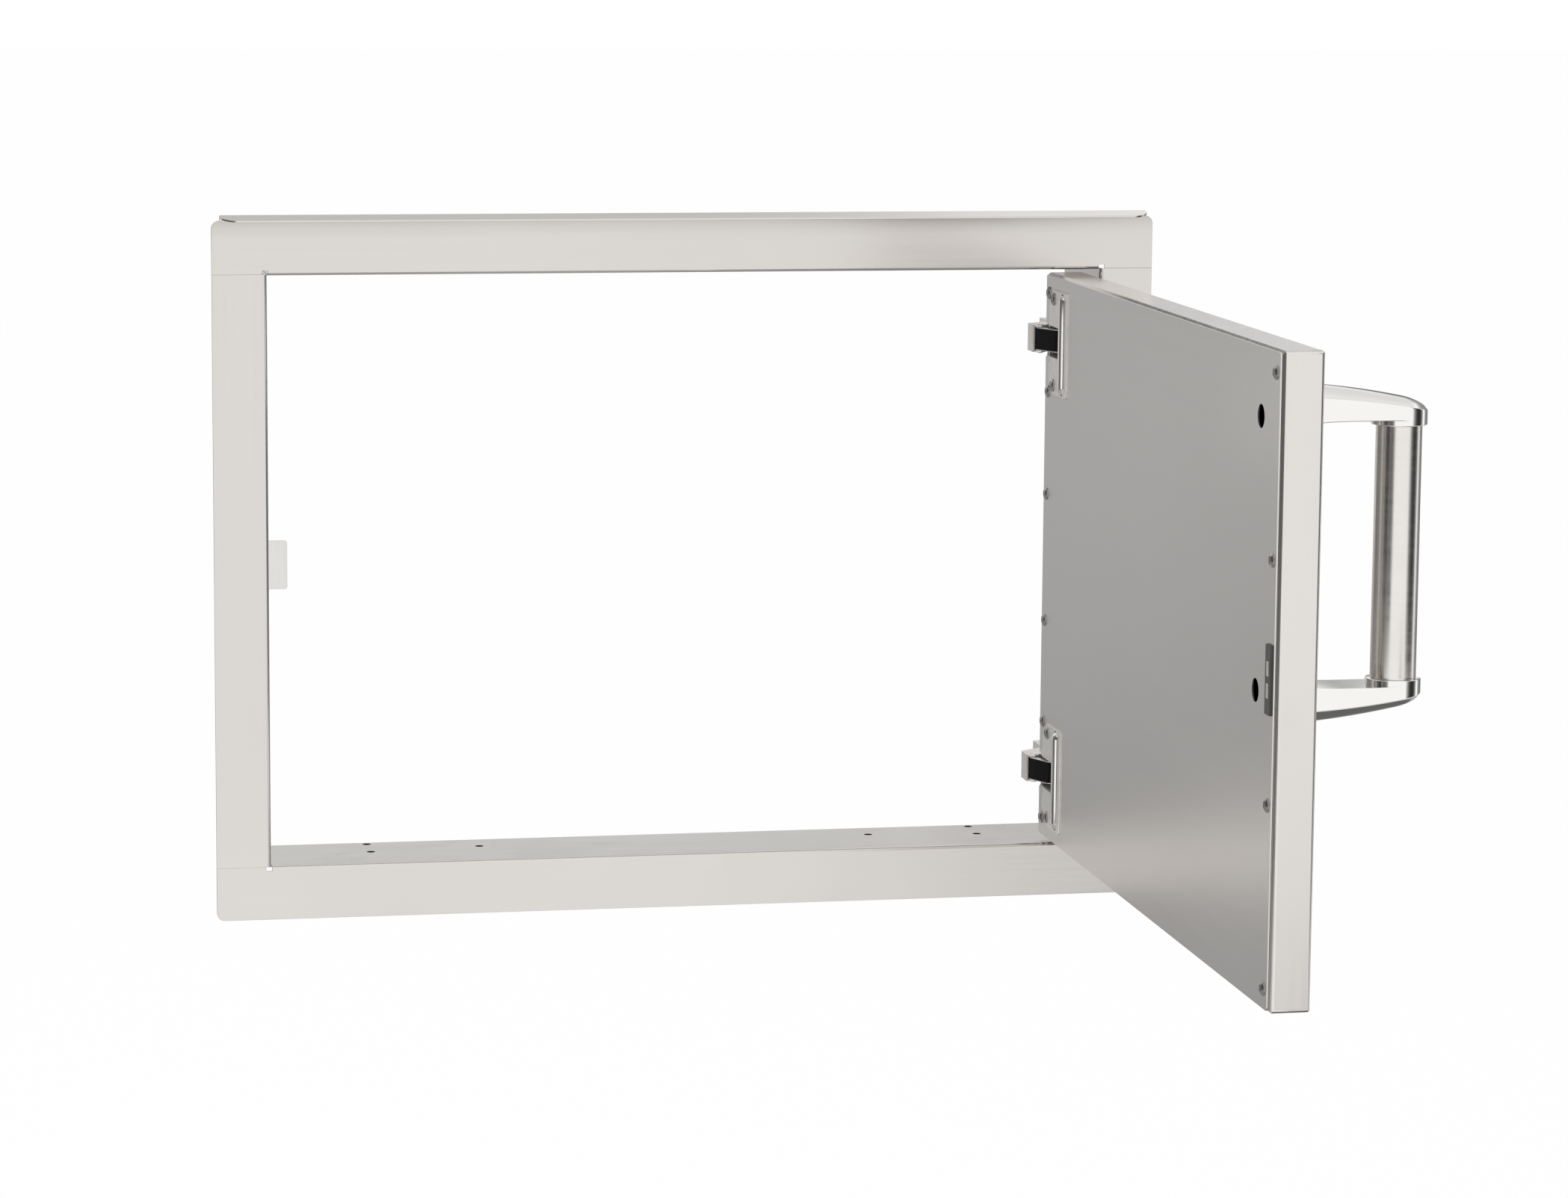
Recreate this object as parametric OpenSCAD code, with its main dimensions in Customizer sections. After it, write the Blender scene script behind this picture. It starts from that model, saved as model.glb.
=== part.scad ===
// Access door for an outdoor kitchen island, shown with the door open at a right angle.
// X runs to the right and Y into the island. Z runs up, from the centre of the opening.
// The front of the face flange lies at Y = 0.

/* [Frame] */
// Width over the face flange
frame_w = 584; // [480:1:800]
// Height over the face flange
frame_h = 429; // [400:1:700]
// Width of the face flange on each side
face_w = 33.3; // [28:0.1:45]
// Thickness of the frame sheet
sheet_t = 1.2; // [0.8:0.1:1.6]
// Outside radius of the frame's bends
bend_r = 2.3; // [1.8:0.1:3]
// Radius of the face flange's outer corners
corner_r = 5; // [2:0.1:10]
// Depth of the rails' return flanges
rail_d = 65.3; // [64:0.1:90]
// Depth of the stiles' return flanges
stile_d = 89; // [75:0.1:110]
// Height of the seam beyond the edge of the opening
seam_up = 0.65; // [0.4:0.05:1.2]
// Width of the relief notch at each inner corner
relief_w = 3.2; // [2.5:0.1:5]
// Height of the relief notch above the seam
relief_h = 2.4; // [2:0.1:4]
// Open joint between the rails' and the stiles' flanges
corner_gap = 0.3; // [0.1:0.05:0.8]

/* [Drip lip] */
// Distance from the side of the frame to the end of the lip
lip_in = 5; // [3:0.1:20]
// Height of the lip's root above the face flange
lip_up = 2.1; // [1:0.1:6]
// Reach of the lip in front of the face
lip_out = 14.5; // [8:0.1:20]
// Drop of the lip from root to front edge
lip_drop = 2.4; // [0:0.1:5]
// Radius of the lip's front corners
lip_r = 11.5; // [2:0.1:14]

/* [Frame holes] */
// Diameter of the fixing holes in the rails
fix_d = 5; // [3:0.1:8]
// Half the spacing of the outer pairs of holes
fix_outer_x = 193.5; // [150:0.5:215]
// Half the spacing of the inner pair of holes
fix_inner_x = 124.5; // [60:0.5:140]
// Depth of the outer pairs' rear holes
fix_rear_y = 60.3; // [50:0.1:61]
// Depth of the outer pairs' front holes
fix_front_y = 36; // [15:0.1:42]
// Depth of the inner holes
fix_inner_y = 44; // [15:0.1:60]

/* [Strike plate] */
// Width of the strike leaf that shows behind the stile
strike_w = 13.4; // [12:0.1:16]
// Height of the strike leaf
strike_h = 30; // [24:0.1:50]
// Height of the strike's middle above the centre of the opening
strike_z = 1.6; // [-4:0.1:6]
// Thickness of the strike plate
strike_t = 1.2; // [0.8:0.1:2]
// Depth of the foot that lies on the stile
strike_foot = 20; // [14:0.1:28]
// Radius of the strike's corners
strike_r = 1.7; // [0.5:0.1:4]
// Diameter of the strike's rivets
rivet_d = 3.2; // [2.4:0.1:4.8]

/* [Door pan] */
// Gap between the door and the opening all round
door_gap = 3; // [2.5:0.1:3.4]
// Thickness of the door pan
door_t = 23.2; // [23:0.1:23.6]
// Thickness of the pan's sheet
pan_t = 1; // [0.7:0.1:1.3]
// Outside radius of the bends round the outer face
pan_r = 2.3; // [1.8:0.1:3]
// Outside radius of the bends at the rear
pan_rear_r = 3; // [1.5:0.1:3.2]
// Radius of the pan's corners
pan_corner_r = 2.2; // [1.8:0.1:3]
// Width of the pan's rear return flanges at its sides
pan_flange_w = 18; // [15:0.1:24]
// Width of the pan's rear return flanges at its top and bottom
pan_flange_h = 9; // [6:0.1:9.8]

/* [Door liner] */
// Thickness of the liner sheet
liner_t = 0.9; // [0.6:0.1:1]
// Distance from the sides of the pan to the liner
liner_side = 2.2; // [2.2:0.1:4.6]
// Distance from the top and bottom of the pan to the liner
liner_end = 1.2; // [0.5:0.1:4]
// Radius of the liner's corners
liner_r = 2; // [0.5:0.1:6]
// Diameter of the access holes behind the handle
access_d = 13; // [10:0.1:18]
// Distance from the sides of the pan to the liner screws
screw_in = 9.2; // [8.6:0.1:9.6]
// Distance from the top and bottom of the pan to the nearest liner screws
screw_end = 12.2; // [9.5:0.1:14]
// Distance from a hinge's middle to the liner screw just inside it
screw_by_hinge = 32; // [31:0.1:40]
// Diameter of the pan screw heads
head_d = 7.9; // [6:0.1:8.2]
// Height of the pan screw heads
head_h = 2; // [1.5:0.1:2.2]
// Diameter of the pan screw threads
thread_d = 3.5; // [2.5:0.1:4]
// Length of the pan screw threads
thread_l = 7; // [4:0.1:9]

/* [Catch] */
// Width of the catch housing
catch_w = 9; // [8:0.1:10]
// Height of the catch housing
catch_h = 37.8; // [30:0.1:44]
// Height of the catch's middle above the centre of the opening
catch_z = 1.9; // [-4:0.1:6]
// Distance from the free edge of the pan to the catch
catch_in = 4.4; // [4.2:0.1:5.4]
// Depth of the catch housing
catch_d = 13; // [12:0.1:16]
// Rise of the catch housing over the liner
catch_up = 1.5; // [0.5:0.1:1.5]
// Width of the catch's pole strips
pole_w = 3.9; // [2:0.1:4.5]
// Height of each pole strip
pole_h = 8.1; // [5:0.1:9]
// Gap between the two pole strips
pole_gap = 3.8; // [2:0.1:6]

/* [Handle] */
// Distance from the top of the pan down to the handle's middle
handle_down = 112.2; // [100:0.1:140]
// Distance from the free edge of the pan to the handle's centre line
handle_in = 35.8; // [30:0.1:60]
// Distance from the door to the grip's centre line
grip_out = 52.8; // [45:0.1:70]
// Diameter of the grip tube
grip_d = 24.8; // [20:0.1:27]
// Wall of the grip tube
grip_t = 1.5; // [1:0.1:2.5]
// Half the length of the grip tube that shows
grip_half = 68.7; // [62:0.1:80]
// Thickness of the collars
collar_t = 3.2; // [2:0.1:5]
// Width of the brackets and diameter of the collars
bracket_w = 30.1; // [30:0.1:36]
// Height of the bracket's side at the door
bracket_h = 12.6; // [11:0.1:16]
// Height of the bracket's side at its end
bracket_end_h = 4.5; // [4:0.1:8]
// Rise of the bracket's bevel
bevel_h = 2.6; // [1.5:0.1:4]
// Rise of the bracket's crown at the door
crown_h = 4.8; // [4:0.1:8]
// Rise of the bracket's crown over the grip
crown_end_h = 2.2; // [2:0.1:5]
// Height of the handle screws beyond the grip's end
handle_screw_up = 5.3; // [5:0.1:6]
// Diameter of the handle screws
handle_screw_d = 4; // [3:0.1:4.4]

/* [Hinges] */
// Distance from the top and bottom of the opening to the hinges' middles
hinge_end = 44.7; // [43.5:0.1:60]
// Distance from the pan's hinge edge to the swing axis
pole_in = 10.5; // [10.3:0.1:10.7]
// Distance from the door's outer face back to the swing axis
pole_back = 7.9; // [7.7:0.1:8.1]
// Distance from the swing axis out to the arm pivot
arm_dx = 18.7; // [18.4:0.1:19]
// Distance from the swing axis back to the arm pivot
arm_dy = 13.1; // [12.9:0.1:13.3]
// Distance from the swing axis to the cup pivot
cup_arm = 5; // [4.8:0.1:5.2]
// Thickness of the arm's steel
arm_t = 1.1; // [0.9:0.1:1.3]
// Height of the arm
arm_h = 17; // [16.6:0.1:17.6]
// Distance from the arm pivot to the face of the arm's nose
nose_in = 4.9; // [4.8:0.1:5.2]
// Distance from the arm pivot to the arm's rear end
arm_l = 49; // [45:0.1:54]
// Sideways step of the arm
arm_step = 16.4; // [15.8:0.1:17]
// Width of the arm's sides at the rear
arm_side_w = 13.5; // [11:0.1:14.5]
// Diameter of the arm's pivot pin
pin_d = 3.2; // [2.8:0.1:3.4]
// Diameter of the pin's domed heads
pin_head_d = 5.4; // [4.5:0.1:6]
// Height of the pin's domed heads
pin_head_h = 0.8; // [0.5:0.1:1.1]
// Height of the black cover on the link
cover_h = 13.2; // [12.6:0.1:13.3]
// Thickness of the link's steel side plates
link_t = 0.5; // [0.4:0.1:0.55]
// Diameter of the cup pin
cup_pin_d = 3; // [2.5:0.1:3.1]
// Diameter of the opening round the cup pin
cup_eye_d = 6; // [5.9:0.1:6.2]

/* [Hinge cups] */
// Width of the cup across the door
cup_w = 34.1; // [33.8:0.1:34.4]
// Height of the cup
cup_h = 21.2; // [20.6:0.1:22]
// Distance from the pan's hinge edge to the cup
cup_in = 2.35; // [2.25:0.05:2.4]
// Wall of the cup
cup_t = 1; // [0.7:0.1:1.1]
// Depth of the cup below the liner's face
cup_d = 21.9; // [21.6:0.1:22.1]
// Length of the cup flange beyond the damper at each end
plate_end = 1.15; // [0.5:0.05:1.5]
// Width of the cup flange
plate_w = 43.6; // [40:0.1:46]
// Distance from the pan's hinge edge to the cup flange
plate_in = 12.4; // [10:0.1:14]
// Thickness of the cup flange
plate_t = 0.8; // [0.6:0.1:1.2]
// Diameter of the damper barrel
damper_d = 9.6; // [8:0.1:10]
// Length of the damper barrel
damper_l = 62.7; // [50:0.1:63]
// Rise of the damper barrel over the liner
damper_up = 3.2; // [2:0.1:4]
// Distance from the pan's hinge edge to the damper's centre
damper_in = 45.4; // [44:0.1:47]
// Distance from the pan's hinge edge to the cup screws
cup_screw_in = 24.4; // [20:0.1:28]
// Distance from the ends of the cup flange to the cup screws
cup_screw_end = 5.7; // [4.5:0.1:9]

/* [Mounting plates] */
// Height over the plate's wings
wing_h = 50; // [44:0.1:60]
// Width of the plate's wings
wing_w = 12; // [9:0.1:16]
// Thickness of the plate's wings
wing_t = 2.5; // [1.5:0.1:2.6]
// Distance of the wing screws above and below the hinge's middle
wing_screw_z = 16; // [14.5:0.1:20]
// Distance from the arm pivot back to the wing screws
wing_back = 35; // [32:0.1:38]
// Length of the raised block under the arm
block_l = 24; // [20:0.1:26]
// Distance between the two arm screws
arm_screw_gap = 13; // [10:0.1:15]
// Diameter of the small machine screws
small_d = 3.2; // [2.5:0.1:3.6]
// Diameter of the small screw heads
small_head_d = 6; // [5:0.1:6.4]
// Height of the small screw heads
small_head_h = 1.6; // [1.2:0.1:2]
// Distance across the flats of the nuts
nut_af = 7; // [6:0.1:8]
// Height of the nuts
nut_h = 3.2; // [2:0.1:4]

/* [Hidden] */
$fn = 64;

// Overrun of every cut
cut = 1;
// Clearance round pieces that drop into an opening
slot_gap = 0.2;
// Radial clearance of a running fit
run_gap = 0.05;
// Clearance round a screw's thread
hole_gap = 0.15;
// Angle of the door as drawn, where zero is closed
rest_angle = 90;

// The opening, and the door when it is closed
open_w = frame_w - face_w - face_w;
open_h = frame_h - face_w - face_w;
half_w = open_w / 2;
half_h = open_h / 2;
seam_z = half_h + seam_up;
pan_w = open_w - door_gap - door_gap;
pan_h = open_h - door_gap - door_gap;
edge_x = pan_w / 2;
hinge_z = half_h - hinge_end;
handle_z = pan_h / 2 - handle_down;
liner_y = door_t + liner_t;

// The swing axis, the arm pivot and the cup pivot
pole = [edge_x - pole_in, pole_back];
pivot = pole + [-arm_dx, arm_dy];
pivot_angle = atan2(arm_dy, -arm_dx);
cup_closed = pole + cup_arm * [cos(pivot_angle - 45), sin(pivot_angle - 45)];
cup_open = pole + cup_arm * [cos(pivot_angle + 45), sin(pivot_angle + 45)];
link_l = norm(cup_open - pivot);

// Places along the door that the pieces share
cup_x = edge_x - cup_in - cup_w / 2;
cup_floor_y = liner_y - cup_d;
plate_x = edge_x - plate_in - plate_w / 2;
damper_x = edge_x - damper_in;
damper_y = liner_y + damper_up - damper_d / 2;
plate_h = damper_l + plate_end + plate_end;
cup_screw_z = plate_h / 2 - cup_screw_end;
cup_screw_x = edge_x - cup_screw_in;
screw_x = edge_x - screw_in;
catch_x = -edge_x + catch_in + catch_w / 2;
catch_front_y = liner_y + catch_up;
pole_front_up = 0.1;
strike_gap = 0.4;
strike_y = catch_front_y + strike_gap;
strike_x = -half_w;
handle_x = -edge_x + handle_in;
bracket_low = grip_half + collar_t;
screw_z = grip_half + handle_screw_up;

// Places of the mounting plate, counted from the stile and the arm pivot
nose_x = pivot[0] - nose_in;
rear_x = nose_x + arm_step;
arm_end_y = pivot[1] + arm_l;
wing_y = pivot[1] + wing_back;
block_x = rear_x + arm_t;
eye_r = nose_in - arm_t - 0.14 * nose_in;

// Heights of the screws near the liner's middle, in shares of half the pan's height
mid_screw_share = 0.2245;
free_screw_share = 0.3704;

// Screw rows on the liner
corner_z = pan_h / 2 - screw_end;
by_hinge_z = hinge_z - screw_by_hinge;
mid_z = mid_screw_share * pan_h / 2;
free_z = free_screw_share * pan_h / 2;
hinge_side_z = [-corner_z, -by_hinge_z, -mid_z, mid_z, by_hinge_z, corner_z];
free_side_z = [-corner_z, -free_z, free_z, corner_z];

// Outline of the link from the arm pivot, in shares of its length
link_shares = [
    [-0.158, -0.066],
    [-0.143, -0.163],
    [-0.066, -0.357],
    [0.219, -1.03],
    [0.408, -1.09],
    [0.689, -1.045],
    [0.903, -0.892],
    [0.963, -0.688],
    [0.892, -0.52],
    [0.714, -0.459],
    [0.23, -0.459],
    [0.087, -0.332],
    [0.077, -0.143],
    [0.128, -0.031]
];
// Outline of the arm's nose from its pivot, in shares of the nose distance
ear_shares = [
    [-1, -0.1],
    [-0.8, -0.37],
    [-0.47, -0.51],
    [-0.22, -0.6],
    [0, 0],
    [0.69, 0.04],
    [1.33, 0.53],
    [2.04, 1.02]
];
// Stations along the bracket, in shares of the grip's distance from the door
bracket_station_shares = [0, 0.06, 0.14, 0.24, 0.35, 0.48, 0.62, 0.76, 0.89, 1];
// Rounds across the bracket, in shares of its half width
bracket_ring_shares = [0.1, 0.25, 0.4, 0.55, 0.7, 0.84, 1];
bevel_share = 0.84;
crown_power_share = 2.6;
bracket_arc_n = 16;

// Stainless steel and the other finishes
steel = [0.80, 0.79, 0.77];
bright = [0.88, 0.88, 0.88];
dull = [0.62, 0.61, 0.60];
black = [0.08, 0.08, 0.08];
grey = [0.25, 0.25, 0.26];

// Turns the pieces of the closed door to the angle drawn
module on_door() {
    translate([pole[0], pole[1], 0])
        rotate([0, 0, rest_angle])
            translate([-pole[0], -pole[1], 0])
                children();
}

// Repeats a piece at both hinges
module at_hinges() {
    for (side = [-1, 1])
        translate([0, 0, side * hinge_z])
            children();
}

// A box given by its lowest and highest corner
module span_box(lo, hi) {
    translate(lo)
        cube(hi - lo);
}

// A rod along Y from one place to another
module rod_y(x, y0, y1, z, r) {
    translate([x, y0, z])
        rotate([-90, 0, 0])
            cylinder(r = r, h = y1 - y0);
}

// A rod along X from one place to another
module rod_x(x0, x1, y, z, r) {
    translate([x0, y, z])
        rotate([0, 90, 0])
            cylinder(r = r, h = x1 - x0);
}

// The waste outside one rounded corner, with the corner at the origin and the body towards plus
module corner_waste(r) {
    difference() {
        translate([-cut, -cut])
            square([r + cut, r + cut]);
        translate([r, r])
            circle(r = r);
    }
}

// A rectangle with its own radius at the low and the high corners
module soft_rect(w, h, r_low, r_high) {
    difference() {
        translate([-w / 2, 0])
            square([w, h]);
        for (side = [0, 1])
            mirror([side, 0])
                translate([-w / 2, 0]) {
                    corner_waste(r_low);
                    translate([0, h])
                        mirror([0, 1])
                            corner_waste(r_high);
                }
    }
}

// A plate that lies in the XZ plane with rounded corners
module soft_plate(x, y0, y1, z, w, h, r) {
    translate([x, y1, z - h / 2])
        rotate([90, 0, 0])
            linear_extrude(height = y1 - y0)
                soft_rect(w, h, r, r);
}

// The bent section of the frame, with the face along X and the flange along Y
module frame_section(depth) {
    translate([bend_r, 0])
        square([face_w - bend_r, sheet_t]);
    translate([0, bend_r])
        square([sheet_t, depth - bend_r]);
    intersection() {
        translate([bend_r, bend_r])
            difference() {
                circle(r = bend_r);
                circle(r = bend_r - sheet_t);
            }
        square([bend_r, bend_r]);
    }
}

// A rail as the upper one lies, before its corners and holes
module rail_blank() {
    flange_w = open_w - corner_gap - corner_gap;
    translate([0, 0, half_h])
        rotate([0, -90, 0])
            linear_extrude(height = flange_w, center = true)
                frame_section(rail_d);
    for (side = [0, 1])
        mirror([side, 0, 0]) {
            span_box(
                [half_w - corner_gap, 0, seam_z],
                [frame_w / 2, sheet_t, frame_h / 2]
            );
            span_box(
                [half_w - face_w, 0, half_h + bend_r],
                [frame_w / 2, sheet_t, frame_h / 2]
            );
        }
}

// The waste at one end of the rail: the relief notch and the rounded corner
module rail_end_waste() {
    span_box(
        [half_w - corner_gap - corner_gap, -cut, half_h - cut],
        [half_w + relief_w - corner_gap, bend_r + cut, seam_z + relief_h]
    );
    translate([frame_w / 2, -cut, frame_h / 2])
        mirror([0, 0, 1])
            mirror([1, 0, 0])
                translate([0, sheet_t + cut + cut, 0])
                    rotate([90, 0, 0])
                        linear_extrude(height = sheet_t + cut + cut)
                            corner_waste(corner_r);
}

module fixing_hole(x, y) {
    translate([x, y, half_h - cut])
        cylinder(d = fix_d, h = sheet_t + cut + cut);
}

module rail() {
    difference() {
        rail_blank();
        for (side = [0, 1])
            mirror([side, 0, 0]) {
                rail_end_waste();
                fixing_hole(fix_outer_x, fix_rear_y);
                fixing_hole(fix_outer_x, fix_front_y);
                fixing_hole(fix_inner_x, fix_inner_y);
            }
    }
}

// The lip rises from the face, bends forward and slopes down, with rounded front corners
module drip_lip() {
    top = frame_h / 2 + lip_up;
    lip_w = frame_w - lip_in - lip_in;
    intersection() {
        rotate([90, 0, 90])
            linear_extrude(height = lip_w, center = true)
                polygon([
                    [0, frame_h / 2 - corner_r],
                    [0, top],
                    [-lip_out, top - lip_drop],
                    [-lip_out, top - lip_drop + sheet_t],
                    [sheet_t / 2, top + sheet_t],
                    [sheet_t, top + sheet_t / 2],
                    [sheet_t, frame_h / 2 - corner_r]
                ]);
        translate([0, -lip_out, frame_h / 2 - corner_r - cut])
            linear_extrude(height = corner_r + lip_up + sheet_t + cut + cut)
                soft_rect(lip_w, lip_out + sheet_t + cut, lip_r, cut / 2);
    }
}

module top_rail() {
    color(steel)
        union() {
            rail();
            drip_lip();
        }
}

module bottom_rail() {
    color(steel)
        mirror([0, 0, 1])
            rail();
}

// A stile as the right one lies
module stile_blank() {
    translate([half_w, 0, -seam_z])
        linear_extrude(height = seam_z + seam_z)
            frame_section(stile_d);
}

module left_stile() {
    color(steel)
        difference() {
            mirror([1, 0, 0])
                stile_blank();
            strike_rivet_rods(rivet_d / 2 + hole_gap);
        }
}

module right_stile() {
    color(steel)
        difference() {
            stile_blank();
            at_hinges()
                for (side = [-1, 1])
                    rod_x(half_w - cut, half_w + sheet_t + cut, wing_y, side * wing_screw_z, small_d / 2 + hole_gap);
        }
}

module strike_rivet_rods(r) {
    for (side = [-1, 1])
        rod_x(
            strike_x - sheet_t - rivet_d / 4,
            strike_x + strike_t + rivet_d / 4,
            strike_y + strike_t + strike_foot * 0.55,
            strike_z + side * strike_h * 0.28,
            r
        );
}

// A small angle: one leaf faces the catch, the other lies on the stile's flange
module strike_plate() {
    color(steel)
        difference() {
            union() {
                intersection() {
                    span_box(
                        [strike_x, strike_y, strike_z - strike_h / 2],
                        [strike_x + strike_w, strike_y + strike_t, strike_z + strike_h / 2]
                    );
                    soft_plate(
                        strike_x, strike_y - cut, strike_y + strike_t + cut,
                        strike_z, strike_w + strike_w, strike_h, strike_r
                    );
                }
                span_box(
                    [strike_x, strike_y, strike_z - strike_h / 2],
                    [strike_x + strike_t, strike_y + strike_t + strike_foot, strike_z + strike_h / 2]
                );
            }
            strike_rivet_rods(rivet_d / 2 + hole_gap);
        }
}

// Domed head with its flat side at the origin, and its dome towards plus Z
module dome(d, h) {
    r = (d * d / 4 + h * h) / (h + h);
    intersection() {
        translate([0, 0, h - r])
            sphere(r = r);
        cylinder(d = d + cut, h = h + cut);
    }
}

module strike_rivets() {
    color(bright)
        for (side = [-1, 1])
            translate([strike_x, strike_y + strike_t + strike_foot * 0.55, strike_z + side * strike_h * 0.28])
                rotate([0, 90, 0])
                    union() {
                        translate([0, 0, -sheet_t])
                            cylinder(d = rivet_d, h = sheet_t + strike_t);
                        translate([0, 0, strike_t])
                            dome(rivet_d * 1.8, rivet_d / 4);
                        translate([0, 0, -sheet_t])
                            mirror([0, 0, 1])
                                dome(rivet_d * 1.8, rivet_d / 4);
                    }
}

// A cross recess to cut into a head that stands on the origin
module cross_recess(d, h) {
    arm = d * 0.58;
    wide = d * 0.15;
    translate([0, 0, h * 0.45])
        for (turn = [0, 90])
            rotate([0, 0, turn])
                translate([-arm / 2, -wide / 2, 0])
                    cube([arm, wide, h]);
}

// A screw with a domed head on the origin and its thread towards minus Z
module pan_screw(d, h, thread, length) {
    rim = h * 0.3;
    rise = h - rim;
    r = (d * d / 4 + rise * rise) / (rise + rise);
    difference() {
        rotate_extrude()
            union() {
                square([d / 2, rim]);
                intersection() {
                    translate([0, h - r])
                        circle(r = r);
                    translate([0, rim / 2])
                        square([d / 2, h]);
                }
                translate([0, -length])
                    square([thread / 2, length + rim / 2]);
            }
        cross_recess(d, h);
    }
}

module mounting_plates() {
    color(dull)
        at_hinges()
            difference() {
                union() {
                    span_box(
                        [half_w - wing_t, wing_y - wing_w / 2, -wing_h / 2 + wing_w / 2],
                        [half_w, wing_y + wing_w / 2, wing_h / 2 - wing_w / 2]
                    );
                    for (side = [-1, 1])
                        rod_x(half_w - wing_t, half_w, wing_y, side * (wing_h / 2 - wing_w / 2), wing_w / 2);
                    span_box(
                        [block_x, wing_y - block_l / 2, -arm_h / 2 + arm_t + run_gap],
                        [half_w, wing_y + block_l / 2, arm_h / 2 - arm_t - run_gap]
                    );
                }
                for (side = [-1, 1]) {
                    rod_x(half_w - wing_t - cut, half_w + cut, wing_y, side * wing_screw_z, small_d / 2 + hole_gap);
                    rod_x(
                        block_x - cut, block_x + arm_side_w,
                        wing_y + side * arm_screw_gap / 2, 0, small_d / 2 + run_gap
                    );
                }
            }
}

module mounting_screws() {
    color(bright)
        at_hinges()
            for (side = [-1, 1])
                translate([half_w - wing_t, wing_y, side * wing_screw_z])
                    rotate([0, -90, 0])
                        pan_screw(small_head_d, small_head_h, small_d, wing_t + sheet_t + nut_h);
}

module mounting_nuts() {
    color(bright)
        at_hinges()
            for (side = [-1, 1])
                translate([half_w + sheet_t, wing_y, side * wing_screw_z])
                    rotate([0, 90, 0])
                        difference() {
                            cylinder(d = nut_af / cos(30), h = nut_h, $fn = 6);
                            translate([0, 0, -cut])
                                cylinder(d = small_d + run_gap, h = nut_h + cut + cut);
                        }
}

// Side of the arm: a nose round the pivot, a cranked neck and a straight rear part
module arm_side() {
    neck_y = nose_in * 2.65;
    polygon(concat(
        [for (p = ear_shares) p * nose_in],
        [
            [nose_in * 2.6, neck_y],
            [rear_x - pivot[0] + arm_side_w, neck_y + arm_step * 0.73],
            [rear_x - pivot[0] + arm_side_w, arm_l],
            [rear_x - pivot[0], arm_l],
            [rear_x - pivot[0], neck_y + arm_step * 0.73],
            [-nose_in, neck_y]
        ]
    ));
    circle(r = nose_in * 0.65);
}

// Face of the arm: a strip that follows the crank
module arm_web() {
    neck_y = nose_in * 2.65;
    back_y = neck_y + arm_step * 0.73;
    polygon([
        [-nose_in, -nose_in * 0.1],
        [-nose_in, neck_y],
        [rear_x - pivot[0], back_y],
        [rear_x - pivot[0], arm_l],
        [rear_x - pivot[0] + arm_t, arm_l],
        [rear_x - pivot[0] + arm_t, back_y - arm_t / 2],
        [-nose_in + arm_t, neck_y - arm_t / 2],
        [-nose_in + arm_t, -nose_in * 0.1]
    ]);
}

module hinge_arms() {
    color(bright)
        at_hinges()
            difference() {
                translate([pivot[0], pivot[1], 0])
                    union() {
                        translate([0, 0, -arm_h / 2])
                            linear_extrude(height = arm_h)
                                arm_web();
                        for (low = [-arm_h / 2, arm_h / 2 - arm_t])
                            translate([0, 0, low])
                                linear_extrude(height = arm_t)
                                    arm_side();
                    }
                translate([pivot[0], pivot[1], -arm_h])
                    cylinder(d = pin_d + run_gap, h = arm_h + arm_h);
                for (side = [-1, 1])
                    rod_x(
                        rear_x - cut, rear_x + arm_t + cut,
                        wing_y + side * arm_screw_gap / 2, 0, small_d / 2 + hole_gap
                    );
            }
}

module arm_screws() {
    color(bright)
        at_hinges()
            for (side = [-1, 1])
                translate([rear_x, wing_y + side * arm_screw_gap / 2, 0])
                    rotate([0, -90, 0])
                        pan_screw(small_head_d, small_head_h, small_d, arm_side_w * 0.7);
}

module arm_pivot_pins() {
    color(bright)
        at_hinges()
            translate([pivot[0], pivot[1], 0])
                union() {
                    translate([0, 0, -arm_h / 2])
                        cylinder(d = pin_d, h = arm_h);
                    for (side = [0, 1])
                        mirror([0, 0, side])
                            translate([0, 0, arm_h / 2])
                                dome(pin_head_d, pin_head_h);
                }
}

// Outline of the link: a round eye on the arm's pin and a hook that enters the cup
module link_outline() {
    circle(r = eye_r);
    polygon(concat(
        [for (p = link_shares) p * link_l],
        [[eye_r * 0.2, eye_r * 0.2]]
    ));
}

module link_holes() {
    eye = (cup_closed + cup_open) / 2;
    pin_shift = [-0.11, 0.1] * cup_arm;
    translate([pivot[0], pivot[1], -arm_h])
        cylinder(d = pin_d + run_gap + run_gap, h = arm_h + arm_h);
    translate([cup_open[0] + pin_shift[0], cup_open[1] + pin_shift[1], -arm_h])
        cylinder(d = cup_eye_d, h = arm_h + arm_h);
}

module outer_links() {
    color(bright)
        at_hinges()
            difference() {
                for (low = [-cover_h / 2 - link_t, cover_h / 2])
                    translate([pivot[0], pivot[1], low])
                        linear_extrude(height = link_t)
                            link_outline();
                link_holes();
            }
}

module link_covers() {
    color(black)
        at_hinges()
            difference() {
                translate([pivot[0], pivot[1], -cover_h / 2])
                    linear_extrude(height = cover_h)
                        link_outline();
                link_holes();
            }
}

// A block with the pan's three sets of rounded edges, shrunk all round by an inset
module pan_block(inset) {
    w = pan_w - inset - inset;
    h = pan_h - inset - inset;
    t = door_t - inset - inset;
    intersection() {
        translate([0, inset, -h / 2])
            linear_extrude(height = h)
                soft_rect(w, t, pan_r - inset, pan_rear_r - inset);
        translate([0, inset, 0])
            rotate([0, 90, 0])
                linear_extrude(height = w, center = true)
                    soft_rect(h, t, pan_r - inset, pan_rear_r - inset);
        soft_plate(0, inset - cut, door_t - inset + cut, 0, w, h, pan_corner_r - inset);
    }
}

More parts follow.
